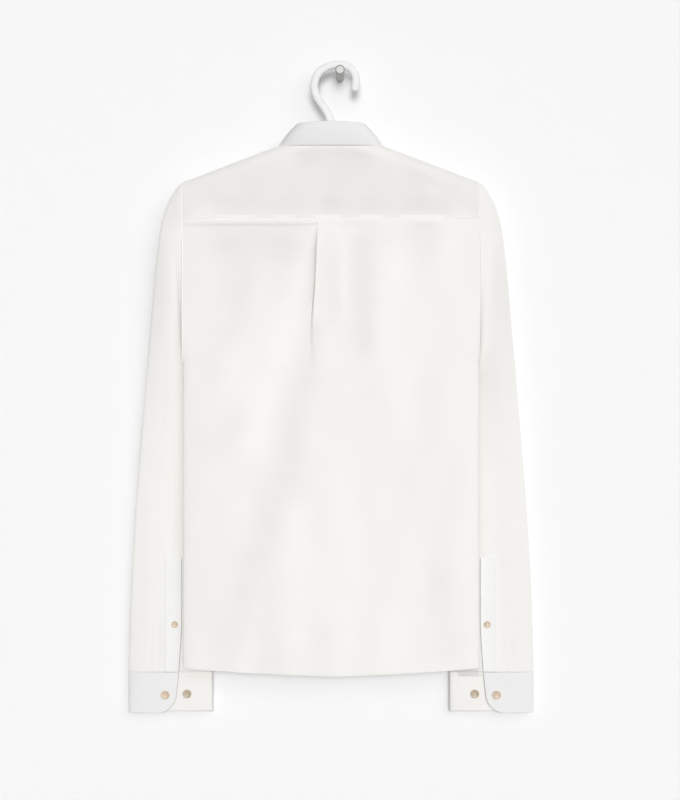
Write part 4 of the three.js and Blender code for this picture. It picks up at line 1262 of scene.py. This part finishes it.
def stage_material(name, colour, see_through=False):
    """A plain painted surface. A wall is see-through from behind, so that it hides nothing of the shirt."""

    def build(graph, shader):
        drift = graph.noise(object_place(graph), 30.0, 3.0)
        dark = (*(0.995 * c for c in colour), 1)
        graph.set(shader.inputs["Base Color"], graph.blend(drift, (*colour, 1), dark))
        graph.set(shader.inputs["Roughness"], graph.span(drift, 0.0, 1.0, 0.9, 1.0))
        if see_through:
            behind = graph.node("ShaderNodeNewGeometry").outputs["Backfacing"]
            clear = graph.node("ShaderNodeBsdfTransparent").outputs[0]
            blend = graph.node("ShaderNodeMixShader")
            for socket, value in zip(blend.inputs, (behind, shader.outputs[0], clear)):
                graph.set(socket, value)
            output = graph.tree.nodes["Material Output"]
            graph.set(output.inputs["Surface"], blend.outputs[0])

    return new_material(name, build, Specular_IOR_Level=0.1)


# ---------- what a user may change ----------


def size_property(name, description, default, low, high):
    """A length in metres."""
    return FloatProperty(
        name=name, description=description, default=default, min=low, max=high, precision=5, unit="LENGTH"
    )


def colour_property(name, description, default):
    """A linear colour."""
    return FloatVectorProperty(
        name=name, description=description, default=default, min=0, max=1, size=3, subtype="COLOR"
    )


class ShirtSizes(bpy.types.PropertyGroup):
    """Sizes of the sewing, the cloth's texture and the folds."""

    crease_depth: FloatProperty(
        name="Crease depth",
        description="How deep the soft folds are, as a share of those of the hung shirt",
        default=1.0,
        min=0.0,
        max=1.5,
        subtype="FACTOR",
    )
    knit_pitch: size_property("Knit pitch", "Width of one diamond of the pique", 0.0013, 0.0005, 0.004)
    weave_pitch: size_property("Weave pitch", "Between threads of the poplin", 0.00035, 0.0002, 0.001)
    stitch_pitch: size_property("Stitch pitch", "From one stitch to the next", 0.0029, 0.0015, 0.006)
    stitch_length: size_property("Stitch length", "Length of one stitch that shows", 0.0022, 0.001, 0.005)
    thread: size_property("Thread", "Diameter of the sewing thread", 0.00042, 0.0002, 0.001)


class ShirtColours(bpy.types.PropertyGroup):
    """Colours of the cloth, the buttons, the hanger and the room."""

    pique: colour_property("Pique", "Body and sleeves", (0.944, 0.929, 0.900))
    # Blended in for the pique's random drift of tone and for painted shade in its hollows.
    pique_shade: colour_property("Pique shade", "Hollows of the pique", (0.60, 0.575, 0.53))
    poplin: colour_property("Poplin", "Collar and cuffs", (0.863, 0.863, 0.863))
    # Painted light: the plackets' copy of the poplin gets a lighter colour than the collar and the cuffs.
    placket: colour_property("Placket", "Plackets on the sleeves", (0.910, 0.910, 0.905))
    # Colour of the thin dark cord along the free edges of plackets and cuffs.
    edging: colour_property("Edging", "Thin binding of plackets and cuffs", (0.47, 0.44, 0.40))
    # Blended in for the poplin's random drift of tone and for painted shade in its hollows.
    poplin_shade: colour_property("Poplin shade", "Hollows of the poplin", (0.60, 0.60, 0.605))
    thread: colour_property("Thread", "All sewing", (0.93, 0.92, 0.89))
    horn: colour_property("Horn", "Buttons that close the shirt", (0.597, 0.474, 0.361))
    horn_light: colour_property("Horn, light", "Light streaks of those buttons", (0.775, 0.610, 0.445))
    dark_horn: colour_property("Dark horn", "Spare buttons of the cuffs", (0.413, 0.337, 0.25))
    dark_horn_light: colour_property("Dark horn, light", "Their light streaks", (0.61, 0.503, 0.376))
    plastic: colour_property("Plastic", "Hanger and hook", (0.837, 0.837, 0.837))
    metal: colour_property("Metal", "Wall peg", (0.58, 0.575, 0.565))
    wall: colour_property("Wall", "Wall behind the shirt", (0.92, 0.92, 0.922))
    floor: colour_property("Floor", "Floor below the shirt", (0.42, 0.42, 0.415))


# ---------- one operator for each piece ----------


LAP_ROWS = np.linspace(-LAP_REACH, 0.0027, 12) / 0.61
BACK_ROWS = edged(np.concatenate([LAP_ROWS, mix(0.006, 1, np.linspace(0, 1, 172) ** 1.2)]), 0.617)
FRONT_ROWS = edged(np.concatenate([LAP_ROWS, mix(0.006, 1, np.linspace(0, 1, 140) ** 1.15)]), 0.606)


class SHIRT_OT_back(bpy.types.Operator):
    """Make the back with its box pleat"""

    bl_idname = "shirt.back"
    bl_label = "Back"
    bl_options = {"REGISTER", "UNDO"}

    def execute(self, context):
        spans = ((0, 0.2, 7), (0.21, 0.5, 41), (0.51, 1, 66))
        half = np.concatenate([np.linspace(*span) for span in spans])
        columns = edged(np.concatenate([-half[:0:-1], half]), 0.42)
        settings = {"nodes": ("back",), "slot": "pique", "turned": (0, HEM_TURN), "level": True}
        material = pique_material()
        cloth("back", back_face, columns, BACK_ROWS, "panel", material, relief=back_shade_relief, **settings)
        return {"FINISHED"}


class SHIRT_OT_yoke(bpy.types.Operator):
    """Make the yoke, from front seam to front seam over the shoulders"""

    bl_idname = "shirt.yoke"
    bl_label = "Yoke"
    bl_options = {"REGISTER", "UNDO"}

    def execute(self, context):
        spans = ((0, 0.5, 50), (0.5, 0.75, 18), (0.75, 1, 12))
        half = np.concatenate([np.linspace(start, end, count)[1:] for start, end, count in spans])
        columns = np.concatenate([-half[::-1], [0], half])
        rows = edged(np.linspace(0.012, 1, 54), 0.12)
        settings = {"nodes": ("yoke",), "slot": "pique", "turned": (0, 0.0075), "relief": yoke_shade_relief}
        cloth("yoke", yoke_face, columns, rows, "yoke", pique_material(), **settings)
        return {"FINISHED"}


class SHIRT_OT_fronts(bpy.types.Operator):
    """Make both fronts and the band that carries the buttonholes"""

    bl_idname = "shirt.fronts"
    bl_label = "Fronts"
    bl_options = {"REGISTER", "UNDO"}

    def execute(self, context):
        material = pique_material()
        spans = {"left": (BAND_PARTING - SEAM_GAP, -HALF_WIDTH), "right": (BAND_PARTING, HALF_WIDTH)}
        for name, (start, end) in spans.items():
            columns = edged(np.linspace(0, 1, 90), abs(end - start))
            node = f"front_{name}"
            settings = {"nodes": (node,), "slot": "pique", "turned": (0, HEM_TURN)}
            cloth(
                node,
                lambda u, v: front_point(mix(start, end, u), v),
                columns,
                FRONT_ROWS,
                "panel",
                material,
                **settings,
            )
        columns = edged(np.linspace(-1, 1, 17), 2 * BAND_HALF)
        rows = FRONT_ROWS[FRONT_ROWS >= 0.001]
        settings = {"nodes": ("front_band",), "slot": "pique"}
        cloth("front_band", band_face, columns, rows, "band", material, **settings)
        return {"FINISHED"}


class SHIRT_OT_collar(bpy.types.Operator):
    """Make the collar's stand and its fall"""

    bl_idname = "shirt.collar"
    bl_label = "Collar"
    bl_options = {"REGISTER", "UNDO"}

    def execute(self, context):
        back = 1 - (1 - np.linspace(0, 1, 34)) ** 1.3
        front = 1 + np.linspace(0, 1, 34) ** 1.25
        half = np.concatenate([back[1:], front[1:]])
        columns = edged(np.concatenate([-half[::-1], [0], half]), 0.45)
        stand_rows = edged(np.linspace(0, 1, 14), 0.026)
        settings = {"material": poplin_material(), "slot": "poplin", "nodes": ("collar_stand",)}
        cloth("collar_stand", stand_face, columns, stand_rows, "collar", **settings)
        roll = np.linspace(RISE_SHARE, ROLL_SHARE, 18)
        fall_rows = edged(np.concatenate([[0, 0.04], roll, np.linspace(ROLL_SHARE, 1, 18)[1:]]), 0.05)
        settings.update(nodes=("collar_fall",), held="folded", relief=collar_end_shade)
        cloth("collar_fall", fall_face, columns, fall_rows, "collar", **settings)
        return {"FINISHED"}


SIDES = (("left", True), ("right", False))


class SHIRT_OT_sleeves(bpy.types.Operator):
    """Make both sleeves and the plackets on them"""

    bl_idname = "shirt.sleeves"
    bl_label = "Sleeves"
    bl_options = {"REGISTER", "UNDO"}

    def execute(self, context):
        angles = np.linspace(0, 2 * np.pi, 151)[:-1]
        cap = np.concatenate([np.linspace(-0.1, 0, 12), np.linspace(0.03, 0.34, 9)]) / SLEEVE_RINGS
        wrist = 1 + np.linspace(-0.05, 0.1, 12) / SLEEVE_RINGS
        rows = edged(np.concatenate([cap, np.linspace(0.03, 0.995, 210), wrist]), 0.69)
        for name, mirrored in SIDES:
            sleeve, placket = f"sleeve_{name}", f"sleeve_placket_{name}"

            def surface(angle, v):
                return sleeve_point(name, angle, v)

            def relief(angle, v):
                return sleeve_shade_and_light(name, angle, v)

            def strip(u, v):
                return placket_point(name, u, v)

            settings = {"nodes": (sleeve,), "slot": "pique", "closed": True, "mirrored": mirrored}
            cloth(sleeve, surface, angles, rows, "sleeve", pique_material(), relief=relief, **settings)
            columns, down = edged(np.linspace(0, 1, 16), 0.02), edged(np.linspace(0, 1, 60), 0.12)
            settings = {"nodes": (placket,), "slot": "poplin", "mirrored": mirrored}
            cloth(placket, strip, columns, down, "band", poplin_material("placket poplin painted light"), **settings)
        return {"FINISHED"}


class SHIRT_OT_cuffs(bpy.types.Operator):
    """Make both cuffs with the ends that lie below their overlaps"""

    bl_idname = "shirt.cuffs"
    bl_label = "Cuffs"
    bl_options = {"REGISTER", "UNDO"}

    def execute(self, context):
        rows = edged(np.unique(np.concatenate([np.linspace(0, 0.68, 16), np.linspace(0.68, 1, 22)])), 0.055)
        for name, mirrored in SIDES:
            cuff, under = f"cuff_{name}", f"cuff_underlap_{name}"
            settings = {"nodes": (cuff,), "slot": "poplin", "mirrored": mirrored}
            columns = edged(np.linspace(0, 1, 110), 0.2)
            cloth(cuff, cuff_face, columns, rows, "cuff", poplin_material(), **settings)
            settings = {"nodes": (under,), "slot": "pique", "mirrored": mirrored, "relief": underlap_shade}
            columns = edged(np.linspace(0, 1, 44), 0.08)
            cloth(under, underlap_face, columns, rows, "cuff", pique_material(), **settings)
            self.edging(name, mirrored)
        return {"FINISHED"}

    def edging(self, name, mirrored):
        """A thin dark cord along the free edges of the placket and the cuff."""

        def strip(u, v):
            return placket_point(name, u, v)

        down = np.linspace(0.01, 0.995, 90)
        shapes = [
            piping(strip, np.ones(90), down, 0.0003, EDGING / 2),
            piping(cuff_face, np.zeros(90), down * 0.99, 0.0003, EDGING / 2),
        ]
        piece = joined(f"edging_{name}", shapes, mirrored)
        finish_piece(piece, thread_material("edging cord"))


def line(start, end, count=160):
    """Evenly spaced values from start to end."""
    return np.linspace(start, end, count)


def across(low, high, at, count=160):
    """A line of places with u from low to high, at one v."""
    return line(low, high, count), np.full(count, float(at))


def downward(at, low, high, count=160):
    """A line of places at one u, with v from low to high."""
    return np.full(count, float(at)), line(low, high, count)


class SHIRT_OT_sewing(bpy.types.Operator):
    """Sew the seams, hems, collar, cuffs, plackets and band, and the buttonholes"""

    bl_idname = "shirt.sewing"
    bl_label = "Sewing"
    bl_options = {"REGISTER", "UNDO"}

    def execute(self, context):
        self.body()
        self.collar()
        self.cuffs()
        self.buttonholes()
        return {"FINISHED"}

    def body(self):
        """Rows along the hem, the yoke's seams, the armholes and the band."""
        panel, yoke, band = (THICK[kind] / 2 for kind in ("panel", "yoke", "band"))
        turned = TURN_THICK / 2
        rows = [stitch_row(back_face, *across(-0.995, 0.995, 0.9900, 400), panel + turned, -1)]
        rows.append(stitch_row(yoke_face, *across(-0.497, 0.497, 0.984), yoke + turned, -1))
        for side in (-1, 1):
            rows.append(stitch_row(back_face, *downward(side * 0.984, 0.004, 0.3), panel, -1))
            rows.append(stitch_row(yoke_face, *downward(side * 0.982, 0.05, 0.98), yoke, -1))
        for start, end in ((BAND_PARTING - SEAM_GAP, -HALF_WIDTH), (BAND_PARTING, HALF_WIDTH)):

            def front(u, v):
                return front_point(mix(start, end, u), v)

            out = -1 if end > start else 1
            rows.append(stitch_row(front, *across(0.1, 0.995, 0.9895), panel + turned, out))
            rows.append(stitch_row(front, *downward(0.966, 0.01, 0.4), panel, out))
        for at in (-0.82, 0.82):
            rows.append(stitch_row(band_face, *downward(at, 0.003, 0.997), band, -1))
        stitching("stitches_body", rows)

    def collar(self):
        """Rows along the fall's free edge and its ends, and along the stand's seam."""
        wall = THICK["collar"] / 2
        u = line(-1.97, 1.97, 500)
        length = np.linalg.norm(fall_edge(np.abs(u)) - fold_point(np.abs(u)), axis=-1)
        v = 1 - (1 - ROLL_SHARE) * 0.0045 / length
        rows = [stitch_row(fall_face, u, v, wall)]
        for at in (-1.97, 1.97):
            rows.append(stitch_row(fall_face, *downward(at, ROLL_SHARE + 0.05, v[0]), wall))
        rows.append(stitch_row(stand_face, *across(-1.97, 1.97, 0.08, 300), wall))
        stitching("stitches_collar", rows)

    def cuffs(self):
        """Rows round both cuffs, on their underlaps and along the plackets."""
        wall, band = THICK["cuff"] / 2, THICK["band"] / 2
        for name, mirrored in SIDES:

            def strip(u, v):
                return placket_point(name, u, v)

            rows = [
                stitch_row(cuff_face, *across(0.012, 0.99, 0.04), wall, 1),
                stitch_row(cuff_face, *across(0.09, 0.99, 0.906), wall, 1),
                stitch_row(cuff_face, *downward(0.013, 0.04, 0.80), wall, 1),
                stitch_row(underlap_face, *across(0.02, 0.75, 0.904), wall, 1),
            ]
            for at in (0.07, 0.93):
                rows.append(stitch_row(strip, *downward(at, 0.02, 0.99), band, 1))
            for at in (0.02, 0.22):
                rows.append(stitch_row(strip, *across(0.07, 0.93, at, 24), band, 1))
            stitching(f"stitches_cuff_{name}", rows, mirrored)

    def buttonholes(self):
        """Below each button: two dense rows of short stitches beside a slit, on a small arch of thread."""
        buttons = sorted(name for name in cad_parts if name.startswith("button_"))
        nodes = [name for name in buttons if "spare" not in name]
        shapes = []
        for node in nodes:
            low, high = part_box(node)
            facing = 1 if "front" in node or "collar" in node else -1
            upright = "front" in node or "placket" in node
            back = (low.y if facing > 0 else high.y) - facing * 0.00042
            half = 0.62 * (high.x - low.x)
            for offset in (-0.00055, 0.00055):
                along = np.linspace(-half, half, 40)
                x, z = (np.full(40, offset), along) if upright else (along, np.full(40, offset))
                centre = middle(node)
                path = point(centre.x - SHIRT_X + x, back, centre.z + z)
                ring = np.linspace(0, 2 * np.pi, 8, endpoint=False)[:, None]
                side = np.array([1.0, 0, 0]) if upright else np.array([0, 0, 1.0])
                bumps = 0.0004 * (1 + 0.18 * np.cos(np.arange(40) * np.pi))[:, None, None]
                section = np.cos(ring) * side + np.sin(ring) * np.array([0, 1.0, 0])
                if upright:
                    section = section[::-1]
                shapes.append(tube(path[:, None] + section * bumps))
        finish_piece(joined("buttonholes", shapes), thread_material())


BUTTON_PROFILE = {
    "radius": (0.02, 0.5, 0.82, 0.93, 0.985, 1.0, 0.97, 0.90, 0.80, 0.70, 0.62, 0.50, 0.35, 0.2, 0.02),
    "height": (0, 0, 0, 0.08, 0.25, 0.48, 0.82, 1.0, 0.97, 0.84, 0.75, 0.71, 0.69, 0.68, 0.68),
}


class SHIRT_OT_buttons(bpy.types.Operator):
    """Make all buttons, and the thread that holds them"""

    bl_idname = "shirt.buttons"
    bl_label = "Buttons"
    bl_options = {"REGISTER", "UNDO"}

    def execute(self, context):
        colours = context.scene.shirt_colours
        horn = horn_material("polished horn", colours.horn, colours.horn_light)
        dark = horn_material("polished dark horn", colours.dark_horn, colours.dark_horn_light)
        threads = []
        for node in sorted(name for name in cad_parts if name.startswith("button_")):
            low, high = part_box(node)
            facing = 1 if "front" in node or "collar" in node else -1
            radius, height = (high.x - low.x) / 2, high.y - low.y
            foot = low.y if facing > 0 else high.y
            centre = np.array([middle(node).x - SHIRT_X, foot, middle(node).z])
            turn = np.array([-facing, -facing, 1])
            points, *faces = tube(self.disc(radius, height))
            spare = "spare" in node
            piece = new_mesh(f"{node}_part", points * turn + centre, faces)
            finish_piece(piece, dark if spare else horn, (node,))
            for shape_points, *shape_faces in self.thread(radius, height):
                threads.append((shape_points * turn + centre, *shape_faces))
        finish_piece(joined("button_threads", threads), thread_material())
        return {"FINISHED"}

    def disc(self, radius, height):
        """A turned disc with a raised rim and a shallow well, and four pits where the holes are."""
        row = between(BUTTON_PROFILE, np.linspace(0, len(BUTTON_PROFILE["radius"]) - 1, 52))
        rings = lathe(row["radius"] * radius, row["height"] * height)
        near = np.hypot(np.abs(rings[..., 0]) - 0.2 * radius, np.abs(rings[..., 2]) - 0.2 * radius)
        front = (np.arange(52) > 30)[:, None]
        rings[..., 1] += front * smooth(0.13 * radius - near, 0, 0.04 * radius) * 0.5 * height
        return rings

    def thread(self, radius, height):
        """Two strands over the face from hole to hole, as low arches, and a short shank behind it."""
        t = np.linspace(0, 1, 9)[:, None]
        ring = np.linspace(0, 2 * np.pi, 8, endpoint=False)
        shapes = []
        for side in (-1, 1):
            x = (t - 0.5) * 0.4 * radius + 0 * ring
            y = -(0.62 + 0.2 * np.sin(np.pi * t)) * height - 0.0003 * np.cos(ring)
            z = side * 0.2 * radius + 0.00032 * np.sin(ring) + 0 * t
            shapes.append(tube(point(x, y, z)))
        shank = lathe(np.full(4, 0.28 * radius), np.linspace(-0.0005, 0.0001, 4), 12)
        return shapes + [tube(shank)]


HANG_Y = middle("hanger_hook").y
HOOK_ROUTE = (
    (0, -0.088),
    (-0.0005, -0.066),
    (-0.007, -0.050),
    (-0.018, -0.034),
    (-0.0225, -0.018),
    (-0.0175, -0.0015),
    (-0.0045, 0.0082),
    (0.0121, 0.011),
    (0.0265, 0.0058),
    (0.033, -0.006),
    (0.032, -0.022),
)
HOOK_SIZE = {"half_thick": 0.0038, "half_wide": 0.0054}
HANGER = {"reach": 0.168, "half_thick": 0.005, "half_height": 0.009, "neck": -0.092, "clear": 0.0034}
ARM_STOPS = (1, 0.85, 0.65, 0.4, 0.18)


class SHIRT_OT_hanger(bpy.types.Operator):
    """Make the hanger's arms and its hook"""

    bl_idname = "shirt.hanger"
    bl_label = "Hanger"
    bl_options = {"REGISTER", "UNDO"}

    def execute(self, context):
        arm = [(t * HANGER["reach"], self.arm_z(t * HANGER["reach"])) for t in ARM_STOPS]
        route = [(-x, z) for x, z in arm] + [(0, HANGER["neck"])] + arm[::-1]
        material = plastic_material()
        arms = rod(route, MID_Y, HANGER["half_thick"], HANGER["half_height"])
        finish_piece(joined("hanger_arms", [arms]), material, ("hanger",))
        hook = rod(HOOK_ROUTE, HANG_Y, HOOK_SIZE["half_thick"], HOOK_SIZE["half_wide"], steps=220)
        finish_piece(joined("hook", [hook]), material, ("hanger_hook",))
        return {"FINISHED"}

    def arm_z(self, x):
        """The middle of an arm: below the shoulder line by its clearance and half its height."""
        return float(shoulder_z(x)) - HANGER["clear"] - HANGER["half_height"]


class SHIRT_OT_peg(bpy.types.Operator):
    """Make the wall peg"""

    bl_idname = "shirt.peg"
    bl_label = "Wall peg"
    bl_options = {"REGISTER", "UNDO"}

    def execute(self, context):
        low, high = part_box("wall_peg")
        head, length = (high.x - low.x) / 2, high.y - low.y
        shaft, neck, bevel = head - 0.0012, length - 0.008, 0.0009
        corner = np.linspace(0, QUARTER, 7)
        crown = np.linspace(1, 0.05, 8)
        radius = [np.array([0.2, 0.6, 1]) * shaft, [shaft] * 12, [shaft, shaft + 0.0002]]
        height = [[0, 0, 0], np.linspace(0.0005, neck - 0.0003, 12), [neck - 0.0001, neck]]
        radius += [[head - 0.0005, head - 0.0001, head], head - bevel * (1 - np.cos(corner))]
        height += [[neck, neck + 0.0001, neck + 0.0005], length - bevel * (1 - np.sin(corner))]
        radius.append(crown * (head - bevel))
        height.append(length + 0 * crown)
        rings = lathe(np.concatenate(radius), np.concatenate(height), 64)
        points, *faces = tube(rings + (middle("wall_peg").x - SHIRT_X, high.y, middle("wall_peg").z))
        finish_piece(joined("peg", [(points, *faces)]), metal_material(), ("wall_peg",))
        return {"FINISHED"}


# Each lamp's name, strength, width as an angle, and the direction to it.
LAMPS = (("front", 1.842, 0.34, (0.02, -1.0, 0.12)), ("broad", 0.973, 1.0, (0.40, -1.0, 0.36)))
ROOM = {"wall_gap": 0.0005, "below": 0.4, "near": -6.0, "reach": 4.0}


class SHIRT_OT_stage(bpy.types.Operator):
    """Set up the wall, the floor, the lights and the camera"""

    bl_idname = "shirt.stage"
    bl_label = "Stage"
    bl_options = {"REGISTER", "UNDO"}

    def execute(self, context):
        colours = context.scene.shirt_colours
        wall_y, low = CAD_BOX[1][1] + ROOM["wall_gap"], CAD_BOX[0][2] - ROOM["below"]
        near, reach = ROOM["near"], ROOM["reach"]
        wall = [(-reach, wall_y, low), (reach, wall_y, low), (reach, wall_y, reach), (-reach, wall_y, reach)]
        self.plane("wall", np.array(wall), stage_material("wall paint", colours.wall, see_through=True))
        floor = [(-reach, near, low), (reach, near, low), (reach, wall_y, low), (-reach, wall_y, low)]
        self.plane("floor", np.array(floor), stage_material("floor paint", colours.floor))
        self.light(context.scene)
        self.camera(context.scene)
        return {"FINISHED"}

    def plane(self, name, corners, material):
        """One flat face of the room."""
        mesh = bpy.data.meshes.new(name)
        mesh.from_pydata(corners.tolist(), [], [(0, 1, 2, 3)])
        mesh.materials.append(material)
        plane = bpy.data.objects.new(name, mesh)
        bpy.context.scene.collection.objects.link(plane)

    def light(self, scene):
        """Even daylight from all round, a light from the front, and a broad one that comes from the upper
        right and gives the creases their shading and the shirt its soft shadow on the wall."""
        world = bpy.data.worlds.new("daylight")
        world.use_nodes = True
        world.node_tree.nodes["Background"].inputs["Color"].default_value = (1, 1, 1, 1)
        world.node_tree.nodes["Background"].inputs["Strength"].default_value = 0.12
        scene.world = world
        for name, energy, angle, towards in LAMPS:
            data = bpy.data.lights.new(name, "SUN")
            data.energy, data.angle = energy, angle
            lamp = bpy.data.objects.new(name, data)
            scene.collection.objects.link(lamp)
            lamp.rotation_euler = Vector(towards).to_track_quat("Z", "Y").to_euler()

    def camera(self, scene):
        """A camera straight in front of the wall, level with the middle of the view."""
        data = bpy.data.cameras.new("camera")
        data.sensor_width, data.sensor_fit, data.lens = 36.0, "HORIZONTAL", 85.5
        camera = bpy.data.objects.new("camera", data)
        scene.collection.objects.link(camera)
        camera.location = (0, -2.2, -0.4384)
        camera.rotation_euler = (QUARTER, 0, 0)
        scene.camera = camera
        scene.view_settings.view_transform = "Standard"


MAKERS = (
    SHIRT_OT_stage,
    SHIRT_OT_peg,
    SHIRT_OT_hanger,
    SHIRT_OT_back,
    SHIRT_OT_yoke,
    SHIRT_OT_fronts,
    SHIRT_OT_collar,
    SHIRT_OT_sleeves,
    SHIRT_OT_cuffs,
    SHIRT_OT_sewing,
    SHIRT_OT_buttons,
)


class VIEW3D_PT_shirt(bpy.types.Panel):
    """Lists the makers, and the sizes and colours they use"""

    bl_label = "Pique shirt"
    bl_space_type = "VIEW_3D"
    bl_region_type = "UI"
    bl_category = "Shirt"

    def draw(self, context):
        for group in (context.scene.shirt_sizes, context.scene.shirt_colours):
            box = self.layout.box()
            for name in group.__annotations__:
                box.prop(group, name)
        for maker in MAKERS:
            self.layout.operator(maker.bl_idname)


CLASSES = (ShirtSizes, ShirtColours, *MAKERS, VIEW3D_PT_shirt)


def register():
    """Registers the classes and adds the two groups to the scene."""
    for one in CLASSES:
        bpy.utils.register_class(one)
    bpy.types.Scene.shirt_sizes = PointerProperty(type=ShirtSizes)
    bpy.types.Scene.shirt_colours = PointerProperty(type=ShirtColours)


def unregister():
    """Takes them away again."""
    del bpy.types.Scene.shirt_colours
    del bpy.types.Scene.shirt_sizes
    for one in reversed(CLASSES):
        bpy.utils.unregister_class(one)


def main():
    """Makes the whole shirt and its stage."""
    register()
    bpy.ops.shirt.stage()
    bpy.ops.shirt.peg()
    bpy.ops.shirt.hanger()
    bpy.ops.shirt.back()
    bpy.ops.shirt.yoke()
    bpy.ops.shirt.fronts()
    bpy.ops.shirt.collar()
    bpy.ops.shirt.sleeves()
    bpy.ops.shirt.cuffs()
    bpy.ops.shirt.sewing()
    bpy.ops.shirt.buttons()


if __name__ == "__main__":
    main()
